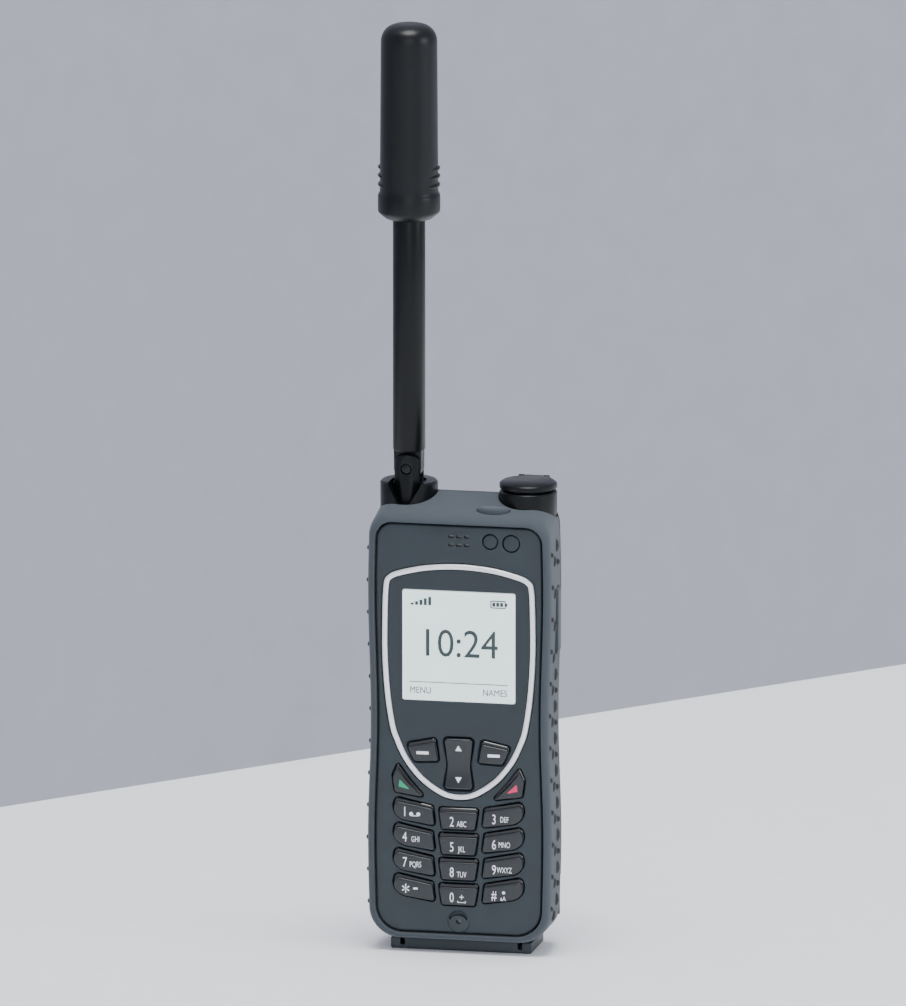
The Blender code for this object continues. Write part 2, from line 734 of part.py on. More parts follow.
def make_antenna():
    bore = MAST_R + SLIDE_GAP
    guide_high = FACE_TOP - FACE_HIGH_CORNER
    tube = [
        (bore, GUIDE_LOW),
        (bore + GUIDE_WALL, GUIDE_LOW),
        (bore + GUIDE_WALL, guide_high),
        (bore, guide_high),
    ]
    piece("antenna_guide", turned(tube, MAST_X, MAST_Y, closed=True), "steel")
    low = FACE_TOP + GAP
    ring = [
        (bore, low),
        (TOWER_R, low),
        (TOWER_R, TOWER_TOP - 0.6),
        (TOWER_R - 0.6, TOWER_TOP),
        (bore, TOWER_TOP),
    ]
    collar = piece("antenna_collar", turned(ring, MAST_X, MAST_Y, closed=True, steps=32), "mast")
    notch = [
        Vector((MAST_X - 1.6, BODY_HEIGHT - 3.5)),
        Vector((MAST_X + 1.6, BODY_HEIGHT - 3.5)),
        Vector((MAST_X + bore + 0.6, TOWER_TOP + 1)),
        Vector((MAST_X - bore - 0.6, TOWER_TOP + 1)),
    ]
    cut(collar, prism(notch, MAST_Y - TOWER_R - 1, MAST_Y))
    pivot = (MAST_X, MAST_Y, PIVOT_Z)
    slot = PIVOT_Z - KNUCKLE_R - 0.4
    top = PIVOT_Z + KNUCKLE_R + 0.1
    foot = slot - CARRIAGE_LENGTH
    slider = piece(
        "antenna_slider",
        rod(MAST_R, foot, top, MAST_X, MAST_Y, steps=24),
        "mast",
        pivot=(MAST_X, MAST_Y, foot),
    )
    cheek = rounded(
        [
            (MAST_X - MAST_R - 0.1, foot - 1, 0),
            (MAST_X + MAST_R + 0.1, foot - 1, 0),
            (MAST_X + MAST_R + 0.1, top, KNUCKLE_R + 0.3),
            (MAST_X - MAST_R - 0.1, top, KNUCKLE_R + 0.3),
        ],
        6,
    )
    combine(slider, "INTERSECT", prism(cheek, MAST_Y - 8, MAST_Y + 8))
    gap_half = TONGUE_HALF + SLIDE_GAP
    cut(slider, block(MAST_X - 8, MAST_X + 8, MAST_Y - gap_half, MAST_Y + gap_half, slot, top + 1))
    cut(slider, rod(PIN_R + GAP, MAST_Y - 8, MAST_Y + 8, MAST_X, 0, PIVOT_Z, "Y", 16))
    piece(
        "antenna_pivot_pin",
        rod(PIN_R, MAST_Y - MAST_R + 0.5, MAST_Y + MAST_R - 0.7, MAST_X, 0, PIVOT_Z, "Y", 14),
        "steel",
    )
    shoulder = PIVOT_Z + SHOULDER
    spigot_top = HEAD_LOW + 12
    mast = piece(
        "antenna_mast",
        turned(
            [
                (0, shoulder),
                (MAST_R - 0.3, shoulder),
                (MAST_R, shoulder + 0.5),
                (MAST_R, HEAD_LOW - GAP),
                (SPIGOT_R, HEAD_LOW - GAP),
                (SPIGOT_R, spigot_top),
                (0, spigot_top),
            ],
            MAST_X,
            MAST_Y,
        ),
        "mast",
        pivot=pivot,
    )
    tongue = rounded(
        [
            (MAST_X - KNUCKLE_R, PIVOT_Z - KNUCKLE_R, KNUCKLE_R - 0.1),
            (MAST_X + KNUCKLE_R, PIVOT_Z - KNUCKLE_R, KNUCKLE_R - 0.1),
            (MAST_X + KNUCKLE_R, shoulder + 1, 0),
            (MAST_X - KNUCKLE_R, shoulder + 1, 0),
        ],
        6,
    )
    join(mast, prism(tongue, MAST_Y - TONGUE_HALF, MAST_Y + TONGUE_HALF))
    cut(mast, rod(PIN_R + GAP, MAST_Y - 4, MAST_Y + 4, MAST_X, 0, PIVOT_Z, "Y", 16))
    head_top = HEAD_LOW + HEAD_HEIGHT
    inner = HEAD_R - 2.0
    hollow_low = spigot_top + GAP
    head = [
        (0, head_top - 4.5),
        (inner - 2.5, head_top - 5.2),
        (inner, head_top - 8.5),
        (inner, hollow_low),
        (SPIGOT_R + GAP, hollow_low),
        (SPIGOT_R + GAP, HEAD_LOW),
        (HEAD_COLLAR_R - 2.0, HEAD_LOW),
        (HEAD_COLLAR_R, HEAD_LOW + 1.8),
        (HEAD_COLLAR_R, HEAD_LOW + 7.7),
        (HEAD_R, HEAD_LOW + 9.0),
        (HEAD_R - 0.25, head_top - 6.5),
        (HEAD_R - 1.3, head_top - 2.9),
        (HEAD_R - 4.0, head_top - 0.7),
        (0, head_top),
    ]
    piece("antenna_head", turned(head, MAST_X, MAST_Y, steps=32), "mast", pivot=pivot)
    element_low = hollow_low + 0.5
    piece(
        "antenna_element",
        rod(inner - 1.4, element_low, head_top - 9.5, MAST_X, MAST_Y, steps=16),
        "card",
        pivot=pivot,
    )


# Emergency button


def make_sos():
    low = FACE_TOP + GAP
    rim = BODY_HEIGHT + 1.4
    bore_floor = BODY_HEIGHT - 4
    cup = [
        (0, low),
        (TOWER_R, low),
        (TOWER_R, rim - 0.4),
        (TOWER_R - 0.4, rim),
        (SOS_BORE_R, rim),
        (SOS_BORE_R, bore_floor),
        (0, bore_floor),
    ]
    tower = piece("sos_tower", turned(cup, SOS_X, MAST_Y, steps=32), "mast")
    cap_low = rim + 0.4
    pin_y = MAST_Y + TOWER_R + 0.15
    pin_z = cap_low + KNUCKLE - 0.2
    ear = rounded(
        [
            (pin_y - 3.0, rim - 4.5, 0),
            (pin_y + KNUCKLE, rim - 2.0, 0),
            (pin_y + KNUCKLE, pin_z + KNUCKLE, KNUCKLE - 0.05),
            (pin_y - KNUCKLE, pin_z + KNUCKLE, KNUCKLE - 0.05),
            (pin_y - KNUCKLE, rim - 0.8, 0),
            (pin_y - 3.0, rim - 0.8, 0),
        ]
    )
    ears = [prism(ear, SOS_X + side * 2.9, SOS_X + side * 4.7, "X") for side in (-1, 1)]
    join(tower, *ears)
    cut(tower, rod(SOS_PIN_R + GAP, SOS_X - 6, SOS_X + 6, 0, pin_y, pin_z, "X", 12))
    piece("sos_hinge_pin", rod(SOS_PIN_R, SOS_X - 4.5, SOS_X + 4.5, 0, pin_y, pin_z, "X", 12), "steel")
    lid = [
        (0, cap_low),
        (TOWER_R - 0.5, cap_low),
        (TOWER_R, cap_low + 0.5),
        (TOWER_R, cap_low + SOS_CAP - 0.6),
        (TOWER_R - 0.8, cap_low + SOS_CAP),
        (0, cap_low + SOS_CAP),
    ]
    pivot = (SOS_X, pin_y, pin_z)
    cover = piece("sos_cover", turned(lid, SOS_X, MAST_Y, steps=32), "mast", pivot=pivot)
    rear_face = pin_y - KNUCKLE - 0.5
    cut(cover, block(SOS_X - 9, SOS_X + 9, rear_face, pin_y + 3, cap_low - 1, cap_low + SOS_CAP + 1))
    knuckle = rounded(
        [
            (pin_y - 4.0, cap_low + 0.05, 0),
            (pin_y + KNUCKLE, cap_low - 0.2, KNUCKLE - 0.05),
            (pin_y + KNUCKLE, pin_z + KNUCKLE, KNUCKLE - 0.05),
            (pin_y - 4.0, pin_z + KNUCKLE - 0.15, 0),
        ]
    )
    join(cover, prism(knuckle, SOS_X - 2.5, SOS_X + 2.5, "X"))
    cut(cover, rod(SOS_PIN_R + GAP, SOS_X - 4, SOS_X + 4, 0, pin_y, pin_z, "X", 12))
    button = [(0, bore_floor + 1), (SOS_BORE_R - 0.4, bore_floor + 1), (SOS_BORE_R - 0.4, rim - 1.2)]
    button += [(SOS_BORE_R - 1.0, rim - 0.8), (0, rim - 0.8)]
    piece("sos_button", turned(button, SOS_X, MAST_Y, steps=20), "red", pivot=(SOS_X, MAST_Y, bore_floor + 1))


# Side and top controls


def make_controls():
    low, high = span(VOLUME_Z, VOLUME_LENGTH)
    inner = side_half(VOLUME_Z) - BAND_SIDE + GAP + SIDE_KEY_FLOOR
    skin = side_half(VOLUME_Z)
    dome = VOLUME_LENGTH / 4
    rocker = rounded(
        [
            (inner, low, 0),
            (skin - 0.2, low, 0.4),
            (skin + 0.9, VOLUME_Z - dome, 0),
            (skin + 0.2, VOLUME_Z, 0),
            (skin + 0.9, VOLUME_Z + dome, 0),
            (skin - 0.2, high, 0.4),
            (inner, high, 0),
        ]
    )
    left = [Vector((-p.x, p.y)) for p in reversed(rocker)]
    middle = sum(volume_depths()) / 2
    piece("volume_rocker", prism(left, *volume_depths()), "rubber", pivot=(-inner, middle, VOLUME_Z))
    low, high = span(SIDE_KEY_Z, SIDE_KEY_LENGTH)
    key = rounded([(inner, low, 0), (skin + 0.7, low, 1.2), (skin + 0.7, high, 1.2), (inner, high, 0)])
    middle = sum(side_key_depths()) / 2
    piece("side_button", prism(key, *side_key_depths()), "rubber", pivot=(inner, middle, SIDE_KEY_Z))
    y = RIM_Y + POWER_Y
    slope = BODY_HEIGHT - TOP_FALL + TOP_FALL * (POWER_Y + 1) / (BAND_BACK_Y - RIM_Y + 2)
    oval = ellipse(POWER_X, y, POWER_HALF_X, POWER_HALF_Y)
    seat = FACE_TOP + GAP + 0.7
    sections = [(seat, oval), (slope + 0.5, oval), (slope + 1.0, grown(oval, -0.5))]
    piece("power_button", stack(sections, "Z"), "rubber", pivot=(POWER_X, y, seat))


def port_y():
    return BAND_BACK_Y + 3.2


def jack_z():
    return (PORT_LOW + PORT_HIGH) / 2


def port_hinge():
    return side_half(jack_z()) - 2.3, BAND_BACK_Y + 5.6


def port_cover_outline():
    """The flap over the power socket, from above: it follows the side of the rear shell."""
    x, y = port_hinge()
    front = BAND_BACK_Y + 0.9
    skin = side_half(jack_z())
    return rounded(
        [
            (skin - 1.5, front, 0),
            (skin - 0.1, front, 0),
            (skin - 0.7, front + 2.2, 0),
            (x + 0.65, y + 0.1, 0.3),
            (x - 0.3, y + 0.6, 0.3),
            (x - 0.65, y - 0.3, 0.3),
        ]
    )


def make_port():
    x, y = port_hinge()
    outline = port_cover_outline()
    piece("power_port_cover", prism(outline, PORT_LOW, PORT_HIGH, "Z"), "rubber", pivot=(x, y, jack_z()))
    inner = side_half(16) - BAND_SIDE - WALL - GAP - 0.3
    z = jack_z()
    back = BACK_Y - BACK_SKIN - GAP
    jack = piece("power_jack", block(inner - 7, inner, port_y() - 3, back, z - 3.2, z + 3.2), "steel")
    cut(jack, rod(JACK_R, inner - 5, inner + 1, 0, port_y(), z, "X", 12))


# Battery


def make_battery():
    low = BACK_Y + GAP
    high = low + BATTERY_COVER
    outline = box_outline(-BATTERY_HALF, BATTERY_HALF, BATTERY_LOW, BATTERY_HIGH, 5.0)
    sections = [
        (low, outline),
        (high - 1.6, outline),
        (high - 0.5, grown(outline, -0.7)),
        (high, grown(outline, -1.9)),
    ]
    middle = (BATTERY_LOW + BATTERY_HIGH) / 2
    battery = piece("battery_pack", stack(sections), "housing", pivot=(0, low, middle))
    floor = battery_floor()
    join(battery, block(CELL_LEFT, CELL_RIGHT, floor + 1.3, low + 1, CELL_LOW, CELL_HIGH, 1.0))
    latch_low = BATTERY_HIGH + 1.0
    grip = box_outline(-6.5, 6.5, latch_low, latch_low + 5.0, 1.5)
    latch = [(low, grip), (low + 2.2, grip), (low + 2.8, grown(grip, -0.6))]
    piece("battery_latch", stack(latch), "key", pivot=(0, low, latch_low))
    level = floor + GAP
    piece("battery_contacts", block(2, 14, level, level + 0.7, CELL_LOW + 1, CELL_LOW + 4), "gold")
    piece("sim_card", block(-2, 13, level, level + 0.7, 55, 80, 1.0), "card")


def make_foot():
    """The base that the phone stands on, with a lanyard slot at each end."""
    top = FOOT_HEIGHT - GAP
    foot = piece(
        "base_foot", block(-LUG_OUTER, LUG_OUTER, -FOOT_HALF_DEPTH, FOOT_HALF_DEPTH, 0, top, 0.6), "housing"
    )
    slots = [
        block(*sorted((side * FOOT_HALF, side * LUG_INNER)), -20, 20, FOOT_BAR, top + 1) for side in (-1, 1)
    ]
    cut(foot, *slots)


def main():
    for old in list(bpy.data.objects):
        bpy.data.objects.remove(old)
    make_front_housing()
    make_band()
    make_rear_housing()
    make_seal()
    make_screws()
    make_display()
    make_keys()
    make_inside()
    make_antenna()
    make_sos()
    make_controls()
    make_port()
    make_battery()
    make_foot()


main()
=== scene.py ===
"""Satellite phone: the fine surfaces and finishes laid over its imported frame."""

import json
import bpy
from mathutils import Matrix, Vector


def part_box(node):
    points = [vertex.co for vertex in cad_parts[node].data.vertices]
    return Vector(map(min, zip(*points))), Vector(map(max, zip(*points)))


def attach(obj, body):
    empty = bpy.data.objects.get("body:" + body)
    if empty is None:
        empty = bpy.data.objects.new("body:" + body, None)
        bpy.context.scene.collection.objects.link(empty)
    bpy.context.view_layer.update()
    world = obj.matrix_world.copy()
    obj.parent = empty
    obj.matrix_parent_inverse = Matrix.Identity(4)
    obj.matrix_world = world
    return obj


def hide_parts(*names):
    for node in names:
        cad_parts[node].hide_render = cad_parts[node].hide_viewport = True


bl_info = {
    "name": "Satellite Phone",
    "version": (1, 0, 0),
    "blender": (4, 5, 0),
    "location": "View3D > Sidebar > Phone",
    "description": "Builds a satellite phone's visible shells, keys, antenna and finishes",
    "category": "Object",
}

from math import atan2, cos, pi, radians, sin, tan, tau

import bmesh
import bpy
from mathutils import Matrix, Vector

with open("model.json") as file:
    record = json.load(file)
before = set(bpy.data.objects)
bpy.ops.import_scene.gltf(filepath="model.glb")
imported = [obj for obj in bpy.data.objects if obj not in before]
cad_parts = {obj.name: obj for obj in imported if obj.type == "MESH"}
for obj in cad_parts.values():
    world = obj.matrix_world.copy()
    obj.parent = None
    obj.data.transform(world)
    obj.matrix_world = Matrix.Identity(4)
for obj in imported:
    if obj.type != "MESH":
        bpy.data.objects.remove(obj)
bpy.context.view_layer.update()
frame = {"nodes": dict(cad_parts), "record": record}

MM = 0.001


def mm_box(node):
    """A node's lowest and highest corners in millimetres."""
    low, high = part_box(node)
    return low / MM, high / MM


# Levels and places read from the frame, in millimetres
FACE_Y = mm_box("display_lens")[0].y
RIM_Y = mm_box("grip_band")[0].y
BAND_BACK_Y = mm_box("grip_band")[1].y
SPLIT_Y = mm_box("front_housing")[1].y
NECK_Y = mm_box("rear_housing")[0].y
BACK_Y = mm_box("rear_housing")[1].y
BODY_TOP = mm_box("rear_housing")[1].z
BODY_FOOT = mm_box("grip_band")[0].z
FACE_LOW = mm_box("front_housing")[0].z
FACE_HIGH = mm_box("front_housing")[1].z
BODY_WIDE = mm_box("grip_band")[1].x - mm_box("grip_band")[0].x
MAST_LOW, MAST_HIGH = mm_box("antenna_mast")
MAST_X = (MAST_LOW.x + MAST_HIGH.x) / 2
MAST_Y = (MAST_LOW.y + MAST_HIGH.y) / 2
SOS_LOW, SOS_HIGH = mm_box("sos_button")
SOS_X = (SOS_LOW.x + SOS_HIGH.x) / 2
TOWER_R = (mm_box("antenna_collar")[1].x - mm_box("antenna_collar")[0].x) / 2
GAP = 0.3
SIDE_INSETS = ((4.0, 0.5), (35.0, 0.0), (72.0, 0.9), (112.0, 0.1), (140.0, 0.6))
BAND_FRONT = 2.6
BAND_SIDE = 1.6
RIM_ROUND = 3.4
RIM_INSET = 1.7
BODY_CORNER = 9.5
FRONT_CORNER = 6.6
FACE_LOW_CORNER = 8.0
FACE_HIGH_CORNER = 5.0
TOP_FALL = 5.2
TRIM_BOTTOM = 48.5
TRIM_TOP = 119.7
TRIM_SIDE = (
    (2.6, 48.75),
    (5.0, 49.5),
    (7.3, 50.75),
    (9.6, 52.35),
    (12.6, 55.0),
    (16.4, 60.0),
    (18.9, 65.2),
    (20.5, 70.0),
    (22.0, 80.0),
    (22.8, 92.0),
    (22.8, 104.0),
    (22.4, 113.2),
    (21.3, 115.7),
    (18.0, 117.2),
    (10.0, 119.0),
)


def length_property(name, description, length):
    return bpy.props.FloatProperty(name=name, description=description, default=length)


class PhoneSizes(bpy.types.PropertyGroup):
    """Sizes of the fine detail, in millimetres."""

    trim_width: length_property("Trim Width", "Width of the bright ring", 1.6)
    trim_rise: length_property("Trim Rise", "How proud the ring stands", 0.5)
    stud_rise: length_property("Stud Rise", "How proud the grip studs stand", 0.9)
    stud_pitch: length_property("Stud Pitch", "Height between rows of studs", 9.95)
    key_round: length_property("Key Rounding", "Radius of a key's edges", 0.45)
    key_shelf: length_property("Key Shelf", "Depth of a key's sloping top edge", 1.0)
    digit_height: length_property("Digit Height", "Height of a key's digit", 3.0)
    letter_height: length_property("Letter Height", "Height of small letters", 1.75)
    well_gap: length_property("Well Gap", "Gap round each key", 0.3)


def colour_property(name, description, red, green, blue):
    return bpy.props.FloatVectorProperty(
        name=name, description=description, default=(red, green, blue), subtype="COLOR", size=3, min=0, max=1
    )


class PhoneColours(bpy.types.PropertyGroup):
    """Base colours of the finishes."""

    face: colour_property("Face", "Slate moulded plastic of the face", 0.015, 0.025, 0.032)
    rubber: colour_property("Rubber", "Grip rubber round the sides", 0.014, 0.020, 0.026)
    keys: colour_property("Keys", "Key caps", 0.011, 0.018, 0.024)
    plate: colour_property("Display Plate", "Dark plate inside the ring", 0.012, 0.020, 0.027)
    mast: colour_property("Antenna", "Black antenna plastic", 0.0020, 0.0030, 0.0042)
    trim: colour_property("Trim", "Bright ring", 0.90, 0.92, 0.95)
    screen: colour_property("Screen", "Lit display", 0.72, 0.86, 0.85)
    ink: colour_property("Screen Ink", "Dark segments of the display", 0.035, 0.055, 0.058)
    legend: colour_property("Legend", "White key legends", 0.86, 0.88, 0.90)
    call: colour_property("Call Mark", "Green mark of the call key", 0.006, 0.30, 0.15)
    end: colour_property("End Mark", "Red mark of the end key", 0.66, 0.03, 0.11)


def sizes():
    return bpy.context.scene.phone_sizes


def colours():
    return bpy.context.scene.phone_colours


# The camera, in metres and degrees, with its target in millimetres, and the line where wall and floor meet
CAMERA_DISTANCE = 8.556
CAMERA_AZIMUTH = 11.96
CAMERA_ELEVATION = 12.04
CAMERA_TARGET = (-4.4, 0, 136.7)
VIEW_HEIGHT = 0.3041112
WALL_START = (-0.178, 0.159, 0)
WALL_END = (0.0485, 0.4115, 0)
WALL_HEIGHT = 4
WALL_SPREAD = 3


# Outlines, as points (x, z) in millimetres


def side_half(z):
    """Half of the body's width at a height."""
    inset = SIDE_INSETS[0][1] if z < SIDE_INSETS[0][0] else SIDE_INSETS[-1][1]
    for (low, first), (high, second) in zip(SIDE_INSETS, SIDE_INSETS[1:]):
        if low <= z <= high:
            inset = first + (second - first) * (1 - cos(pi * (z - low) / (high - low))) / 2
    return BODY_WIDE / 2 - inset


def rounded(corners, steps=8):
    """The closed outline through corners (x, y, radius), each radius as an arc."""
    points = []
    for i, (x, y, radius) in enumerate(corners):
        here = Vector((x, y))
        if not radius:
            points.append(here)
            continue
        back = (Vector(corners[i - 1][:2]) - here).normalized()
        ahead = (Vector(corners[(i + 1) % len(corners)][:2]) - here).normalized()
        half = back.angle(ahead) / 2
        centre = here + (back + ahead).normalized() * radius / sin(half)
        start = here + back * radius / tan(half) - centre
        end = here + ahead * radius / tan(half) - centre
        first = atan2(start.y, start.x)
        sweep = (atan2(end.y, end.x) - first + pi) % tau - pi
        for step in range(steps + 1):
            angle = first + sweep * step / steps
            points.append(centre + Vector((cos(angle), sin(angle))) * radius)
    return points


def grown(outline, distance):
    """A counter-clockwise outline moved outwards by a distance, or inwards by a negative one."""
    moved = []
    for i, here in enumerate(outline):
        back = (here - outline[i - 1]).normalized()
        ahead = (outline[(i + 1) % len(outline)] - here).normalized()
        before = Vector((back.y, -back.x))
        after = Vector((ahead.y, -ahead.x))
        moved.append(here + (before + after) * distance / (1 + before.dot(after)))
    return moved


def body_outline(shrink, bottom, top, low_corner, high_corner, side_steps=26, corner_steps=12):
    low = bottom + low_corner + 0.6
    high = top - high_corner - 0.6
    heights = [low + (high - low) * i / (side_steps - 1) for i in range(side_steps)]
    right = [(side_half(bottom) - shrink, bottom, low_corner)]
    right += [(side_half(z) - shrink, z, 0) for z in heights]
    right.append((side_half(top) - shrink, top, high_corner))
    left = [(-x, z, radius) for x, z, radius in reversed(right)]
    return rounded(right + left, corner_steps)


def case_outline(shrink, y=0.0):
    """The outside of the case at a depth: its top falls towards the front."""
    share = max(0.0, min(1.0, (BAND_BACK_Y - y) / (BAND_BACK_Y - RIM_Y)))
    low = BODY_CORNER - shrink / 2
    high = low - (BODY_CORNER - FRONT_CORNER) * share
    return body_outline(shrink, BODY_FOOT + shrink, BODY_TOP - shrink - TOP_FALL * share, low, high)


def face_outline(inset=0.0):
    outline = body_outline(BAND_FRONT, FACE_LOW, FACE_HIGH, FACE_LOW_CORNER, FACE_HIGH_CORNER)
    return grown(outline, -inset)


def neck_outline(inset=0.0):
    outline = body_outline(BAND_SIDE, FACE_LOW, FACE_HIGH, FACE_LOW_CORNER, FACE_HIGH_CORNER)
    return grown(outline, -inset)


def smoothed(points, steps=5):
    """A closed smooth curve through the points."""
    made = []
    count = len(points)
    for i in range(count):
        p0, p1, p2, p3 = (points[(i + k) % count] for k in (-1, 0, 1, 2))
        for step in range(steps):
            t = step / steps
            made.append(
                0.5
                * (
                    2 * p1
                    + (p2 - p0) * t
                    + (2 * p0 - 5 * p1 + 4 * p2 - p3) * t * t
                    + (3 * p1 - p0 - 3 * p2 + p3) * t * t * t
                )
            )
    return made


def trim_outline(offset):
    right = [Vector((x, z)) for x, z in TRIM_SIDE]
    left = [Vector((-x, z)) for x, z in reversed(TRIM_SIDE)]
    return grown(smoothed([Vector((0, TRIM_BOTTOM)), *right, Vector((0, TRIM_TOP)), *left]), offset)


def box_outline(x0, x1, z0, z1, radius=0.0, steps=6):
    return rounded([(x0, z0, radius), (x1, z0, radius), (x1, z1, radius), (x0, z1, radius)], steps)


def ellipse(x, y, half_x, half_y, steps=40):
    angles = [tau * i / steps for i in range(steps)]
    return [Vector((x + half_x * cos(a), y + half_y * sin(a))) for a in angles]


# Bmesh builders, in millimetres


def face_out(bm):
    bmesh.ops.recalc_face_normals(bm, faces=bm.faces)
    if bm.calc_volume(signed=True) < 0:
        bmesh.ops.reverse_faces(bm, faces=bm.faces)
    return bm


def loft(sections, axis="Y", ring=False):
    """A closed body through (level, outline) sections. A ring's last section joins its first."""
    place = {
        "X": lambda p, level: (level, p.x, p.y),
        "Y": lambda p, level: (p.x, level, p.y),
        "Z": lambda p, level: (p.x, p.y, level),
    }[axis]
    bm = bmesh.new()
    rings = [[bm.verts.new(place(point, level)) for point in outline] for level, outline in sections]
    pairs = list(zip(rings, rings[1:])) + ([(rings[-1], rings[0])] if ring else [])
    for lower, upper in pairs:
        for i in range(len(lower)):
            bm.faces.new((lower[i - 1], lower[i], upper[i], upper[i - 1]))
    if not ring:
        bm.faces.new(rings[0])
        bm.faces.new(rings[-1])
    return face_out(bm)


def prism(outline, low, high, axis="Y"):
    return loft([(low, outline), (high, outline)], axis)


def block(x0, x1, y0, y1, z0, z1, radius=0.0):
    return prism(box_outline(x0, x1, z0, z1, radius), y0, y1)


def turned(profile, x, y, z=0.0, axis="Z", steps=64, closed=False):
    """A profile of (radius, height) spun about an axis through (x, y, z)."""
    bm = bmesh.new()
    verts = [bm.verts.new((radius, 0, height)) for radius, height in profile]
    pairs = list(zip(verts, verts[1:])) + ([(verts[-1], verts[0])] if closed else [])
    edges = [bm.edges.new(pair) for pair in pairs]
    bmesh.ops.spin(
        bm, geom=verts + edges, cent=(0, 0, 0), axis=(0, 0, 1), angle=tau, steps=steps, use_merge=True
    )
    bmesh.ops.remove_doubles(bm, verts=bm.verts, dist=1e-4)
    turns = {"X": Matrix.Rotation(pi / 2, 4, "Y"), "Y": Matrix.Rotation(-pi / 2, 4, "X"), "Z": Matrix()}
    bmesh.ops.transform(bm, matrix=Matrix.Translation((x, y, z)) @ turns[axis], verts=bm.verts)
    return face_out(bm)


def rod(radius, low, high, x, y, z=0.0, axis="Z", steps=48):
    return turned([(0, low), (radius, low), (radius, high), (0, high)], x, y, z, axis, steps)


def blob(place, half_sizes, turn=0.0, axis="X"):
    """A rounded pad, as a squashed ball turned about an axis."""
    bm = bmesh.new()
    bmesh.ops.create_uvsphere(bm, u_segments=14, v_segments=9, radius=1.0)
    bmesh.ops.scale(bm, verts=bm.verts, vec=half_sizes)
    bmesh.ops.rotate(bm, verts=bm.verts, cent=(0, 0, 0), matrix=Matrix.Rotation(turn, 3, axis))
    bmesh.ops.translate(bm, verts=bm.verts, vec=place)
    return bm


def together(*parts):
    whole = bmesh.new()
    for part in parts:
        mesh = bpy.data.meshes.new("part")
        part.to_mesh(mesh)
        part.free()
        whole.from_mesh(mesh)
        bpy.data.meshes.remove(mesh)
    return whole


# Objects


def shade(mesh, angle=32):
    mesh.shade_smooth()
    mesh.set_sharp_from_angle(angle=radians(angle))


def bare(name, bm):
    bmesh.ops.scale(bm, verts=bm.verts, vec=(MM, MM, MM))
    mesh = bpy.data.meshes.new(name)
    bm.to_mesh(mesh)
    bm.free()
    made = bpy.data.objects.new(name, mesh)
    bpy.context.scene.collection.objects.link(made)
    return made


def carved(target, operation, *parts):
    """Cuts, joins or intersects an object with helper shapes, and applies the result."""
    helper = bare("helper", together(*parts))
    modifier = target.modifiers.new(operation.title(), "BOOLEAN")
    modifier.operation = operation
    modifier.object = helper
    bpy.context.view_layer.update()
    graph = bpy.context.evaluated_depsgraph_get()
    mesh = bpy.data.meshes.new_from_object(target.evaluated_get(graph))
    target.modifiers.clear()
    target.data = mesh
    bpy.data.objects.remove(helper)


def cut(target, *parts):
    carved(target, "DIFFERENCE", *parts)


def done(made, material, body, slot, *nodes, angle=32):
    """Gives a piece its material, its shading and its place among the bodies."""
    made.data.materials.clear()
    made.data.materials.append(material)
    shade(made.data, angle)
    if nodes:
        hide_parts(*nodes)
    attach(made, body)
    return made


def body_of_node(node):
    groups = frame["record"]["behaviour"]["bodies"]
    return next(body for body, members in groups.items() if node in members)


def refined(node, material, slot, bevel=0.15, segments=2):
    """A fine copy of a CAD node: its triangles joined, flat stretches dissolved and edges rounded."""
    bm = bmesh.new()
    bm.from_mesh(frame["nodes"][node].data)
    bmesh.ops.remove_doubles(bm, verts=bm.verts, dist=2e-6)
    bmesh.ops.dissolve_limit(bm, angle_limit=radians(1.5), verts=bm.verts, edges=bm.edges)
    if bevel:
        sharp = [e for e in bm.edges if len(e.link_faces) == 2 and e.calc_face_angle(0) > radians(40)]
        bmesh.ops.bevel(
            bm,
            geom=sharp,
            offset=bevel * MM,
            offset_type="OFFSET",
            affect="EDGES",
            segments=segments,
            profile=0.5,
            material=-1,
            clamp_overlap=True,
        )
    mesh = bpy.data.meshes.new(node)
    bm.to_mesh(mesh)
    bm.free()
    made = bpy.data.objects.new(f"{node}_shell", mesh)
    bpy.context.scene.collection.objects.link(made)
    return done(made, material, body_of_node(node), slot, node)


# Materials


def shader_of(material):
    return material.node_tree.nodes["Principled BSDF"]


def plain(name, colour, roughness, metallic=0.0):
    material = bpy.data.materials.get(name) or bpy.data.materials.new(name)
    material.use_nodes = True
    shader = shader_of(material)
    shader.inputs["Base Color"].default_value = (*colour, 1)
    shader.inputs["Roughness"].default_value = roughness
    shader.inputs["Metallic"].default_value = metallic
    material.diffuse_color = (*colour, 1)
    return material


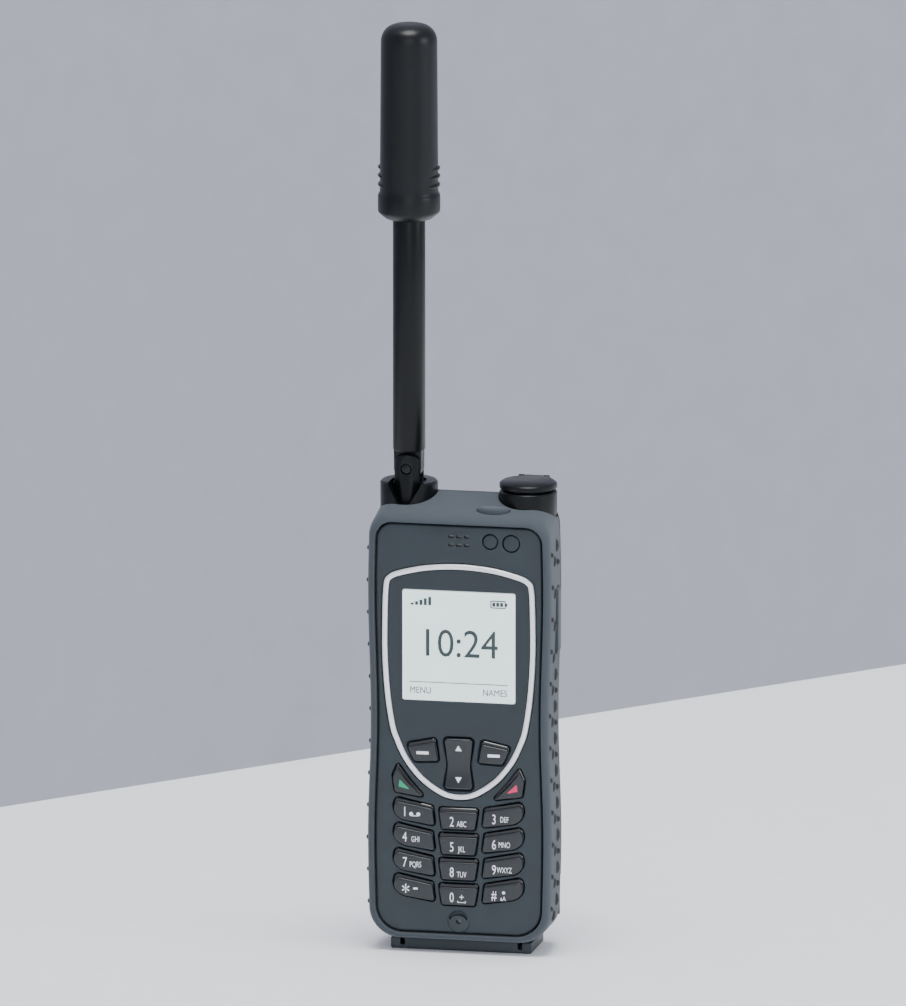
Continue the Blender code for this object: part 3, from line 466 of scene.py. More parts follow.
def textured(
    name, colour, roughness, grain=0.25, depth=0.02, metallic=0.0, shift=0.12, spread=0.08, stretch=(1, 1, 1)
):
    """A moulded finish: a fine grain in relief, drifting roughness and a faint change of tone.

    grain is the size of the relief and depth its height, both in millimetres.
    """
    found = bpy.data.materials.get(name)
    if found:
        return found
    material = plain(name, colour, roughness, metallic)
    nodes, links = material.node_tree.nodes, material.node_tree.links
    shader = shader_of(material)
    place = nodes.new("ShaderNodeTexCoord")
    mapping = nodes.new("ShaderNodeMapping")
    mapping.inputs["Scale"].default_value = stretch
    links.new(place.outputs["Object"], mapping.inputs["Vector"])
    fine = nodes.new("ShaderNodeTexNoise")
    fine.inputs["Scale"].default_value = 1 / (grain * MM)
    fine.inputs["Detail"].default_value = 3
    fine.inputs["Roughness"].default_value = 0.6
    broad = nodes.new("ShaderNodeTexNoise")
    broad.inputs["Scale"].default_value = 90
    broad.inputs["Detail"].default_value = 4
    for noise in (fine, broad):
        links.new(mapping.outputs["Vector"], noise.inputs["Vector"])
    bump = nodes.new("ShaderNodeBump")
    bump.inputs["Distance"].default_value = depth * MM
    bump.inputs["Strength"].default_value = 1
    links.new(fine.outputs["Fac"], bump.inputs["Height"])
    links.new(bump.outputs["Normal"], shader.inputs["Normal"])
    tone = nodes.new("ShaderNodeValToRGB")
    tone.color_ramp.elements[0].position = 0.3
    tone.color_ramp.elements[0].color = (*[c * (1 - shift) for c in colour], 1)
    tone.color_ramp.elements[1].position = 0.7
    tone.color_ramp.elements[1].color = (*[min(1, c * (1 + shift)) for c in colour], 1)
    links.new(broad.outputs["Fac"], tone.inputs["Fac"])
    links.new(tone.outputs["Color"], shader.inputs["Base Color"])
    sheen = nodes.new("ShaderNodeMapRange")
    sheen.inputs["To Min"].default_value = roughness - spread
    sheen.inputs["To Max"].default_value = roughness + spread
    links.new(broad.outputs["Fac"], sheen.inputs["Value"])
    links.new(sheen.outputs["Result"], shader.inputs["Roughness"])
    return material


def face_plastic():
    return textured("face_plastic", colours().face, 0.46, grain=0.22, depth=0.012)


def grip_rubber():
    material = textured("grip_rubber", colours().rubber, 0.58, grain=0.16, depth=0.02, shift=0.16)
    shader_of(material).inputs["Sheen Weight"].default_value = 0.12
    return material


def key_plastic():
    return textured("key_plastic", colours().keys, 0.34, grain=0.3, depth=0.004, shift=0.08, spread=0.05)


# Near-black gloss for the key bases: the strip left showing above each cap is painted shade on the key's top
# edge
def gloss_black():
    return textured("gloss_black", (0.004, 0.006, 0.009), 0.16, grain=0.4, depth=0.002, spread=0.03)


def plate_plastic():
    return textured("plate_plastic", colours().plate, 0.40, grain=0.3, depth=0.006, shift=0.08)


def mast_plastic():
    material = textured(
        "mast_plastic", colours().mast, 0.3, grain=0.35, depth=0.006, shift=0.2, stretch=(1, 1, 0.35)
    )
    shader_of(material).inputs["Specular IOR Level"].default_value = 0.22
    return material


def head_plastic():
    material = textured("head_plastic", colours().mast, 0.36, grain=0.2, depth=0.012, shift=0.2)
    shader_of(material).inputs["Specular IOR Level"].default_value = 0.28
    return material


def bright_metal():
    return textured(
        "bright_metal", colours().trim, 0.30, grain=0.4, depth=0.002, metallic=0.35, shift=0.03, spread=0.06
    )


def steel():
    return textured(
        "steel", (0.50, 0.51, 0.53), 0.32, grain=0.3, depth=0.004, metallic=1.0, stretch=(1, 1, 0.2)
    )


def printed(name, colour, glow=0.0):
    material = textured(name, colour, 0.5, grain=0.3, depth=0.003, shift=0.03, spread=0.04)
    if glow:
        shader = shader_of(material)
        shader.inputs["Emission Color"].default_value = (*colour, 1)
        shader.inputs["Emission Strength"].default_value = glow
    return material


# Key shapes, as in the frame

KEY_PITCH = 7.83
KEY_ROWS = (("1", "2", "3"), ("4", "5", "6"), ("7", "8", "9"), ("star", "0", "hash"))


def mirrored(corners, side, steps=6):
    outline = rounded(corners, steps)
    return outline if side > 0 else [Vector((-p.x, p.y)) for p in reversed(outline)]


def middle_key(row):
    top = 45.1 - KEY_PITCH * row
    low = top - 6.6
    return rounded([(-5.1, low, 0.8), (5.1, low, 0.8), (6.1, top, 0.8), (-6.1, top, 0.8)], 6)


def outer_key(row, side):
    drop = KEY_PITCH * row
    corners = [
        (7.3, 39.4 - drop, 0.8),
        (18.4, 41.2 - drop, 4.5),
        (20.6, 44.9 - drop, 3.8),
        (19.2, 47.7 - drop, 1.3),
        (8.0, 45.4 - drop, 0.8),
    ]
    return mirrored(corners, side)


def soft_key(side):
    return mirrored([(6.2, 59.5, 0.6), (13.6, 59.1, 1.2), (15.9, 64.6, 0.8), (7.2, 66.4, 0.8)], side)


def handset_key(side):
    corners = [(10.4, 48.0, 0.5), (19.7, 49.5, 0.8), (20.4, 54.6, 0.8), (18.8, 58.3, 0.4), (15.2, 53.4, 0)]
    return mirrored(corners, side)


def rocker_outline():
    low, high = mm_box("nav_rocker")
    waist = (low.z + high.z) / 2 - 0.3
    corners = [
        (-4.5, low.z, 1.2),
        (4.5, low.z, 1.2),
        (3.4, waist, 9.0),
        (4.6, high.z, 1.2),
        (-4.6, high.z, 1.2),
        (-3.4, waist, 9.0),
    ]
    return rounded(corners)


def key_outlines():
    keys = {}
    for row, (left, middle, right) in enumerate(KEY_ROWS):
        keys[f"key_{left}"] = outer_key(row, -1)
        keys[f"key_{middle}"] = middle_key(row)
        keys[f"key_{right}"] = outer_key(row, 1)
    keys["soft_key_left"] = soft_key(-1)
    keys["soft_key_right"] = soft_key(1)
    keys["call_key"] = handset_key(-1)
    keys["end_key"] = handset_key(1)
    return keys


def lens_outline():
    low, high = mm_box("display_lens")
    return box_outline(low.x, high.x, low.z, high.z, 0.6)


def screw_places():
    for number in range(1, 5):
        low, high = mm_box(f"housing_screw_{number}")
        yield (low.x + high.x) / 2, (low.z + high.z) / 2


def tower_seats():
    return [rod(TOWER_R + GAP, FACE_HIGH + 0.15, BODY_TOP + 5, x, MAST_Y) for x in (MAST_X, SOS_X)]


def mast_hole():
    return rod(5.4, FACE_HIGH - FACE_HIGH_CORNER, FACE_HIGH + 2, MAST_X, MAST_Y)


def light_places():
    for node in ("status_light_lens", "light_sensor_lens"):
        low, high = mm_box(node)
        yield node, (low.x + high.x) / 2, (low.z + high.z) / 2, (high.x - low.x) / 2


# Operators


class PieceOperator(bpy.types.Operator):
    bl_options = {"UNDO"}

    def execute(self, context):
        self.make()
        return {"FINISHED"}


class PHONE_OT_stage(PieceOperator):
    """Make the camera, the pale floor, the wall and the soft lights"""

    bl_idname = "phone.stage"
    bl_label = "Stage"

    def make(self):
        self.camera()
        self.room()
        self.lights()

    def camera(self):
        data = bpy.data.cameras.new("camera")
        data.sensor_width = 36
        data.lens = data.sensor_width * CAMERA_DISTANCE / VIEW_HEIGHT
        data.clip_end = 40
        camera = bpy.data.objects.new("camera", data)
        azimuth, elevation = radians(CAMERA_AZIMUTH), radians(CAMERA_ELEVATION)
        back = Vector((sin(azimuth) * cos(elevation), -cos(azimuth) * cos(elevation), sin(elevation)))
        camera.location = Vector(CAMERA_TARGET) * MM + back * CAMERA_DISTANCE
        camera.rotation_euler = (-back).to_track_quat("-Z", "Y").to_euler()
        bpy.context.scene.collection.objects.link(camera)
        bpy.context.scene.camera = camera

    def room(self):
        start, end = Vector(WALL_START), Vector(WALL_END)
        along = (end - start).normalized()
        away = Vector((-along.y, along.x, 0))
        corner = start - along * WALL_SPREAD
        across = along * (2 * WALL_SPREAD + 1)
        floor = self.sheet("floor", corner, across, -away * WALL_HEIGHT)
        wall = self.sheet("wall", corner - Vector((0, 0, 0.0005)), across, Vector((0, 0, WALL_HEIGHT)))
        floor_paint = textured("floor_paint", (0.93, 0.94, 0.96), 0.6, grain=4, depth=0.01, shift=0.01)
        floor.data.materials.append(floor_paint)
        wall_paint = textured("wall_paint", (0.33, 0.33, 0.38), 0.8, grain=4, depth=0.02, shift=0.03)
        wall.data.materials.append(wall_paint)

    def sheet(self, name, corner, across, up):
        bm = bmesh.new()
        verts = [bm.verts.new(corner + a * across + b * up) for a, b in ((0, 0), (1, 0), (1, 1), (0, 1))]
        bm.faces.new(verts)
        mesh = bpy.data.meshes.new(name)
        bm.to_mesh(mesh)
        bm.free()
        made = bpy.data.objects.new(name, mesh)
        bpy.context.scene.collection.objects.link(made)
        return made

    def lights(self):
        self.area("key_light", (-1.6, -0.25, 0.75), 0.5, 60, (1.0, 0.99, 0.97))
        self.area("front_fill", (0.5, -2.2, 1.0), 1.6, 12, (0.93, 0.96, 1.0))
        self.area("side_fill", (1.6, -0.3, 0.7), 0.8, 10, (0.95, 0.97, 1.0))
        self.area("top_light", (0.0, -0.2, 2.2), 1.2, 58, (1.0, 1.0, 1.0))
        world = bpy.data.worlds.new("studio")
        world.use_nodes = True
        world.node_tree.nodes["Background"].inputs["Color"].default_value = (0.82, 0.86, 0.94, 1)
        world.node_tree.nodes["Background"].inputs["Strength"].default_value = 0.72
        bpy.context.scene.world = world

    def area(self, name, place, size, power, colour):
        data = bpy.data.lights.new(name, "AREA")
        data.shape = "DISK"
        data.size = size
        data.energy = power
        data.color = colour
        light = bpy.data.objects.new(name, data)
        light.location = place
        light.rotation_euler = (Vector((0, 0, 0.1)) - Vector(place)).to_track_quat("-Z", "Y").to_euler()
        bpy.context.scene.collection.objects.link(light)


class PHONE_OT_face(PieceOperator):
    """Make the slate face with its key wells, display pocket and sound openings"""

    bl_idname = "phone.face"
    bl_label = "Face"

    def make(self):
        plate = mm_box("lcd_module")[0].y - GAP
        outer = face_outline()
        sections = [
            (FACE_Y, grown(outer, -0.9)),
            (FACE_Y + 0.06, grown(outer, -0.5)),
            (FACE_Y + 0.25, grown(outer, -0.2)),
            (FACE_Y + 0.6, outer),
            (SPLIT_Y, outer),
        ]
        shell = bare("face_shell", loft(sections))
        cut(shell, prism(face_outline(1.4), plate, SPLIT_Y + 1))
        mic_low, mic_high = mm_box("microphone")
        mic_z = (mic_low.z + mic_high.z) / 2
        boss = [(0, -0.4), (2.9, -0.4), (3.2, -0.32), (3.4, -0.1), (3.5, 0.05), (3.5, 0.8), (0, 0.8)]
        carved(shell, "UNION", turned(boss, 0, FACE_Y, mic_z, "Y", 56))
        through = plate + 0.4
        out = RIM_Y - 1
        well = sizes().well_gap
        for outline in key_outlines().values():
            cut(shell, self.well(outline, out, through, well))
        openings = [rod(0.75, out, through, 0, 0, mic_z, "Y", 24)]
        for _, x, z, r in light_places():
            hole = [(0, out), (r + 0.55, out), (r + 0.25, FACE_Y + 0.25), (r + 0.25, through), (0, through)]
            openings.append(turned(hole, x, 0, z, "Y"))
        for x in (-2.4, 0.0, 2.4):
            for drop in (3.4, 6.0):
                z = FACE_HIGH - drop
                openings.append(block(x - 0.85, x + 0.85, out, through, z - 0.42, z + 0.42, 0.3))
        cut(shell, *openings)
        cut(shell, self.crescent(mic_z))
        pocket = [
            (out, trim_outline(1.6)),
            (FACE_Y, trim_outline(1.35)),
            (FACE_Y + 0.2, trim_outline(1.12)),
            (mm_box("display_trim")[1].y + 0.2, trim_outline(1.12)),
        ]
        cut(shell, loft(pocket))
        window = grown(lens_outline(), 0.6)
        cut(shell, prism(window, out, through), prism(grown(rocker_outline(), 0.3), out, through))
        done(shell, face_plastic(), "case", "case_plastic", "front_housing")
        for node, x, z, radius in light_places():
            low, high = mm_box(node)
            dome = [
                (0, low.y - 0.05),
                (radius * 0.6, low.y),
                (radius - 0.25, low.y + 0.1),
                (radius, low.y + 0.4),
                (radius, high.y),
                (0, high.y),
            ]
            disc = bare(f"{node}_cap", turned(dome, x, 0, z, "Y", 40))
            done(disc, plate_plastic(), "case", "key_plastic", node)

    def well(self, outline, out, through, gap):
        """A cutter for one key's well, with a rounded lip."""
        sections = [
            (out, grown(outline, gap + 0.27)),
            (FACE_Y - 0.02, grown(outline, gap + 0.25)),
            (FACE_Y + 0.1, grown(outline, gap + 0.1)),
            (FACE_Y + 0.31, grown(outline, gap)),
            (through, grown(outline, gap)),
        ]
        return loft(sections)

    def crescent(self, z):
        """The finger recess above the microphone's hole."""
        outer = [Vector((3.15 * cos(a), z + 3.15 * sin(a))) for a in self.sweep(22, 158)]
        inner = [Vector((2.75 * cos(a), z - 0.35 + 2.3 * sin(a))) for a in self.sweep(158, 22)]
        return prism(outer + inner, RIM_Y - 1, FACE_Y + 0.7)

    def sweep(self, first, last, steps=16):
        return [radians(first + (last - first) * i / steps) for i in range(steps + 1)]


class PHONE_OT_grip(PieceOperator):
    """Make the rubber band round the sides, with its rim and its studs"""

    bl_idname = "phone.grip"
    bl_label = "Grip"

    def make(self):
        inner_front = grown(face_outline(), 0.4)
        inner_back = neck_outline(-GAP)
        step = SPLIT_Y + 0.7
        sections = [(BAND_BACK_Y, inner_back), (step, inner_back), (step, inner_front)]
        sections.append((FACE_Y + 0.2, inner_front))
        for share in (0.0, 0.35, 0.65, 0.85, 1.0):
            angle = share * pi / 2
            y = RIM_Y + 0.35 * (1 - sin(angle))
            sections.append((y, grown(inner_front, 0.05 + 0.2 * (1 - cos(angle)))))
        for share in (0.0, 0.2, 0.4, 0.6, 0.8, 1.0):
            angle = share * pi / 2
            y = RIM_Y + RIM_ROUND * (1 - cos(angle))
            shrink = RIM_INSET * (1 - sin(angle))
            sections.append((y, case_outline(shrink, y)))
        for y in (RIM_Y + 6, RIM_Y + 9, RIM_Y + 12, BAND_BACK_Y):
            sections.append((y, case_outline(0.0, y)))
        band = bare("grip_shell", loft(sections, ring=True))
        cut(band, *tower_seats())
        cut(band, mast_hole())
        low, high = mm_box("power_button")
        middle_x, middle_y = (low.x + high.x) / 2, (low.y + high.y) / 2
        seat = ellipse(middle_x, middle_y, (high.x - low.x) / 2 + GAP, (high.y - low.y) / 2 + GAP)
        openings = [prism(seat, FACE_HIGH - 1, BODY_TOP + 5, "Z")]
        for node in ("volume_rocker", "side_button"):
            low, high = mm_box(node)
            middle, half = (low.z + high.z) / 2, (high.z - low.z) / 2 + 0.5
            outline = rounded(
                [
                    (low.y - 0.4, middle - half, 1.6),
                    (high.y + 0.4, middle - half, 1.6),
                    (high.y + 0.4, middle + half, 1.6),
                    (low.y - 0.4, middle + half, 1.6),
                ]
            )
            side = 1 if low.x > 0 else -1
            x0, x1 = sorted((side * (side_half(middle) - 3.2), side * (side_half(middle) + 3)))
            openings.append(prism(outline, x0, x1, "X"))
        cut(band, *openings)
        done(band, grip_rubber(), "case", "grip_rubber", "grip_band")
        studs = bare("grip_studs", together(*self.studs()))
        dark = textured("stud_rubber", (0.006, 0.009, 0.012), 0.5, grain=0.16, depth=0.02)
        done(studs, dark, "case", "grip_rubber", angle=60)

    def studs(self):
        """Three staggered columns of pads on each side: nubs, slanted ovals, and long ovals between dots."""
        rise, pitch = sizes().stud_rise, sizes().stud_pitch
        columns = (
            (RIM_Y + 3.6, 0.0, (0.75, 1.1), 0.7, 0.75),
            (RIM_Y + 7.0, -2.6, (0.8, 1.75), -0.35, 0.75),
            (RIM_Y + 10.6, 1.6, (1.1, 2.1), 0.0, 1.0),
            (RIM_Y + 11.2, 6.5, (0.8, 1.0), 0.0, 1.0),
        )
        made = []
        for y, offset, (half_y, half_z), slant, share in columns:
            for row in range(13):
                z = 14.5 + offset + pitch * row
                for side in (-1, 1):
                    if self.taken(side, y, z, half_z) or z > 128:
                        continue
                    x = side * (side_half(z) - self.hollow(y) - 0.25)
                    made.append(blob((x, y, z), (rise * share + 0.25, half_y, half_z), slant))
        return made

    def hollow(self, y):
        """How far the band's side lies inside the widest line at a depth near the rim."""
        depth = max(0.0, min(1.0, (y - RIM_Y) / RIM_ROUND))
        return RIM_INSET * (1 - sin(pi / 2 * depth))

    def taken(self, side, y, z, half_z):
        node = "side_button" if side > 0 else "volume_rocker"
        low, high = mm_box(node)
        inside = low.y - 1.8 < y < high.y + 1.8
        return inside and low.z - 1.2 - half_z < z < high.z + 1.2 + half_z


class PHONE_OT_rear(PieceOperator):
    """Make the rear shell with its rounded back, the battery and its latch"""

    bl_idname = "phone.rear"
    bl_label = "Rear"

    def make(self):
        self.shell()
        self.battery()
        refined("battery_latch", key_plastic(), "key_plastic", 0.25, 3)

    def shell(self):
        neck = neck_outline()
        shoulder = BAND_BACK_Y + GAP
        sections = [(NECK_Y, neck), (shoulder, neck), (shoulder, case_outline(0.0, shoulder))]
        for i in range(1, 11):
            angle = i / 10 * pi / 2
            y = shoulder + (BACK_Y - shoulder) * sin(angle)
            sections.append((y, case_outline(4.2 * (1 - cos(angle)) ** 0.9, BACK_Y)))
        rear = bare("rear_shell", loft(sections))
        cavity = bare("cavity", prism(neck_outline(1.4), NECK_Y - 1, BACK_Y - 1.2))
        pack_front = mm_box("battery_pack")[0].y
        cut(cavity, self.round_cell(1.6, pack_front - 2.5, BACK_Y + 1))
        helper = bmesh.new()
        helper.from_mesh(cavity.data)
        bmesh.ops.scale(helper, verts=helper.verts, vec=(1 / MM, 1 / MM, 1 / MM))
        bpy.data.objects.remove(cavity)
        cut(rear, helper)
        pocket = self.round_cell(0.4, pack_front - 1.3, BACK_Y + 2, 1.0)
        holes = [rod(2.2, BACK_Y - 1.6, BACK_Y + 1, x, 0, z, "Y", 32) for x, z in screw_places()]
        cut(rear, pocket, *holes)
        cut(rear, *tower_seats())
        cut(rear, mast_hole())
        low, high = mm_box("power_port_cover")
        middle = (low.z + high.z) / 2
        skin = side_half(middle)
        recess = rounded(
            [
                (skin - 1.9, low.y - 0.5, 0.2),
                (skin + 3, low.y - 0.5, 0),
                (skin + 3, high.y + 3, 0),
                (low.x - 0.6, high.y + 3, 0),
                (low.x - 0.6, high.y - 0.9, 0.4),
            ]
        )
        cut(rear, prism(recess, low.z - 0.5, high.z + 0.5, "Z"))
        cut(rear, rod(1.7, skin - 8, skin + 3, 0, mm_box("power_jack")[0].y + 3, middle, "X", 32))
        done(rear, face_plastic(), "case", "case_plastic", "rear_housing")

    def cell(self):
        """The battery's cell block: the stretch of the pack that lies deeper than its cover."""
        deep = BACK_Y - 1
        points = [v.co / MM for v in frame["nodes"]["battery_pack"].data.vertices if v.co.y / MM < deep]
        low = Vector([min(p[i] for p in points) for i in range(3)])
        high = Vector([max(p[i] for p in points) for i in range(3)])
        return low, high

    def round_cell(self, gap, front, back, radius=0.0):
        """A block that stands a gap off the sides of the cell block."""
        low, high = self.cell()
        return block(low.x - gap, high.x + gap, front, back, low.z - gap, high.z + gap, radius)

    def battery(self):
        low, high = mm_box("battery_pack")
        cell_low, cell_high = self.cell()
        start = BACK_Y + GAP
        outline = box_outline(low.x, high.x, low.z, high.z, 5.0, 12)
        sections = [(start, grown(outline, -0.15)), (start + 0.2, outline)]
        for i in range(8):
            angle = i / 7 * pi / 2
            y = start + 1.6 + (high.y - start - 1.6) * sin(angle)
            sections.append((y, grown(outline, -2.0 * (1 - cos(angle)))))
        pack = bare("battery_shell", loft(sections))
        cell = block(cell_low.x, cell_high.x, cell_low.y, start + 1, cell_low.z, cell_high.z, 1.0)
        carved(pack, "UNION", cell)
        grooves = []
        for row in range(5):
            z = high.z - 9 - row * 2.4
            grooves.append(block(-9, 9, high.y - 0.35, high.y + 1, z - 0.5, z + 0.5, 0.45))
        cut(pack, *grooves)
        done(pack, face_plastic(), "battery", "case_plastic", "battery_pack")


class PHONE_OT_display(PieceOperator):
    """Make the bright ring, the dark plate and the lit screen"""

    bl_idname = "phone.display"
    bl_label = "Display"

    def make(self):
        self.ring()
        self.plate()
        self.screen()

    def ring(self):
        half = sizes().trim_width / 2
        top = FACE_Y - sizes().trim_rise
        foot = mm_box("display_trim")[1].y
        brim = FACE_Y - 0.05
        sections = [(foot, trim_outline(half)), (brim, trim_outline(half))]
        for i in range(1, 8):
            angle = pi * i / 8
            sections.append((brim - (brim - top) * sin(angle), trim_outline(half * cos(angle))))
        sections += [(brim, trim_outline(-half)), (foot, trim_outline(-half))]
        ring = bare("display_ring", loft(sections, ring=True))
        done(ring, bright_metal(), "case", "bright_trim", "display_trim", angle=50)

    def plate(self):
        half = sizes().trim_width / 2
        outer = trim_outline(-half - 0.1)
        foot = mm_box("display_bezel")[1].y
        plate = bare(
            "display_plate",
            loft([(FACE_Y - 0.05, grown(outer, -0.25)), (FACE_Y + 0.15, outer), (foot, outer)]),
        )
        out = FACE_Y - 2
        keys = (soft_key(-1), soft_key(1), rocker_outline())
        cut(plate, *[self.lipped(outline, out, foot + 1, 0.3) for outline in keys])
        cut(plate, self.lipped(lens_outline(), out, foot + 1, 0.12, 0.1))
        done(plate, plate_plastic(), "case", "key_plastic", "display_bezel")

    def lipped(self, outline, out, through, gap, lip=0.4):
        sections = [
            (out, grown(outline, gap + lip)),
            (FACE_Y - 0.06, grown(outline, gap + lip)),
            (FACE_Y + 0.3, grown(outline, gap)),
            (through, grown(outline, gap)),
        ]
        return loft(sections)

    def screen(self):
        low, high = mm_box("display_lens")
        outline = lens_outline()
        sections = [(low.y, grown(outline, -0.15)), (low.y + 0.12, outline), (high.y, outline)]
        panel = bare("screen_panel", loft(sections))
        done(panel, printed("screen_glow", colours().screen, 0.7), "case", "display_glass", "display_lens")
        shader_of(panel.data.materials[0]).inputs["Roughness"].default_value = 0.2
        edge = grown(outline, -0.22)
        inner = grown(edge, -0.5)
        border = loft([(low.y, edge), (low.y - 0.03, edge), (low.y - 0.03, inner), (low.y, inner)], ring=True)
        frame_piece = bare("screen_border", border)
        done(frame_piece, printed("border_white", (0.93, 0.97, 0.97), 0.5), "case", "display_glass")
        ink = bare("screen_ink", together(*self.ink(low, high)))
        done(ink, printed("screen_ink", colours().ink), "case", "key_plastic")

    def ink(self, low, high):
        """A clock, a row of signal bars and a battery mark."""
        y = low.y
        middle = (low.z + high.z) / 2
        parts = [lettering("10:24", 8.5, (0, y, middle - 3.2), 0.92)]
        for bar in range(5):
            x = low.x + 2.6 + bar * 1.35
            parts.append(block(x, x + 0.9, y - 0.04, y, high.z - 4.6, high.z - 4.0 + bar * 0.5))
        x0, x1, z0, z1 = high.x - 7.6, high.x - 2.9, high.z - 4.7, high.z - 2.3
        shell = [(y, box_outline(x0, x1, z0, z1, 0.3)), (y - 0.04, box_outline(x0, x1, z0, z1, 0.3))]
        hollow = box_outline(x0 + 0.3, x1 - 0.3, z0 + 0.3, z1 - 0.3, 0.1)
        parts.append(loft([*shell, (y - 0.04, hollow), (y, hollow)], ring=True))
        parts.append(block(x1, x1 + 0.5, y - 0.04, y, z0 + 0.7, z1 - 0.7))
        for cell in range(3):
            x = x0 + 0.6 + cell * 1.2
            parts.append(block(x, x + 0.9, y - 0.04, y, z0 + 0.6, z1 - 0.6))
        parts.append(block(low.x + 2.2, high.x - 2.2, y - 0.04, y, low.z + 5.6, low.z + 5.8))
        parts.append(lettering("MENU", 2.0, (low.x + 5.6, y, low.z + 2.2), 0.85))
        parts.append(lettering("NAMES", 2.0, (high.x - 6.2, y, low.z + 2.2), 0.85))
        return parts


def lettering(text, height, place, squeeze=0.8, relief=0.04):
    """Raised lettering on the front, centred at a place, as a bmesh in millimetres."""
    curve = bpy.data.curves.new("lettering", "FONT")
    curve.body = text
    curve.size = height / 0.7
    curve.align_x = "CENTER"
    curve.resolution_u = 4
    curve.extrude = relief / 2
    holder = bpy.data.objects.new("lettering", curve)
    bpy.context.scene.collection.objects.link(holder)
    bpy.context.view_layer.update()
    mesh = bpy.data.meshes.new_from_object(holder.evaluated_get(bpy.context.evaluated_depsgraph_get()))
    bpy.data.objects.remove(holder)
    bpy.data.curves.remove(curve)
    bm = bmesh.new()
    bm.from_mesh(mesh)
    bpy.data.meshes.remove(mesh)
    bmesh.ops.remove_doubles(bm, verts=bm.verts, dist=1e-5)
    bmesh.ops.scale(bm, verts=bm.verts, vec=(squeeze, 1, 1))
    bmesh.ops.rotate(bm, verts=bm.verts, cent=(0, 0, 0), matrix=Matrix.Rotation(pi / 2, 3, "X"))
    bmesh.ops.translate(bm, verts=bm.verts, vec=place)
    return bm


LEGENDS = {
    "key_1": ("1", None),
    "key_2": ("2", "ABC"),
    "key_3": ("3", "DEF"),
    "key_4": ("4", "GHI"),
    "key_5": ("5", "JKL"),
    "key_6": ("6", "MNO"),
    "key_7": ("7", "PQRS"),
    "key_8": ("8", "TUV"),
    "key_9": ("9", "WXYZ"),
    "key_star": ("*", None),
    "key_0": ("0", None),
    "key_hash": ("#", None),
}


# A key column's places: its digit's x, its small letters' x, and how far its digit sits below the middle
COLUMNS = {-1: (-16.5, -13.2, 0.0), 0: (-1.95, 1.1, 0.75), 1: (11.1, 14.3, 1.2)}


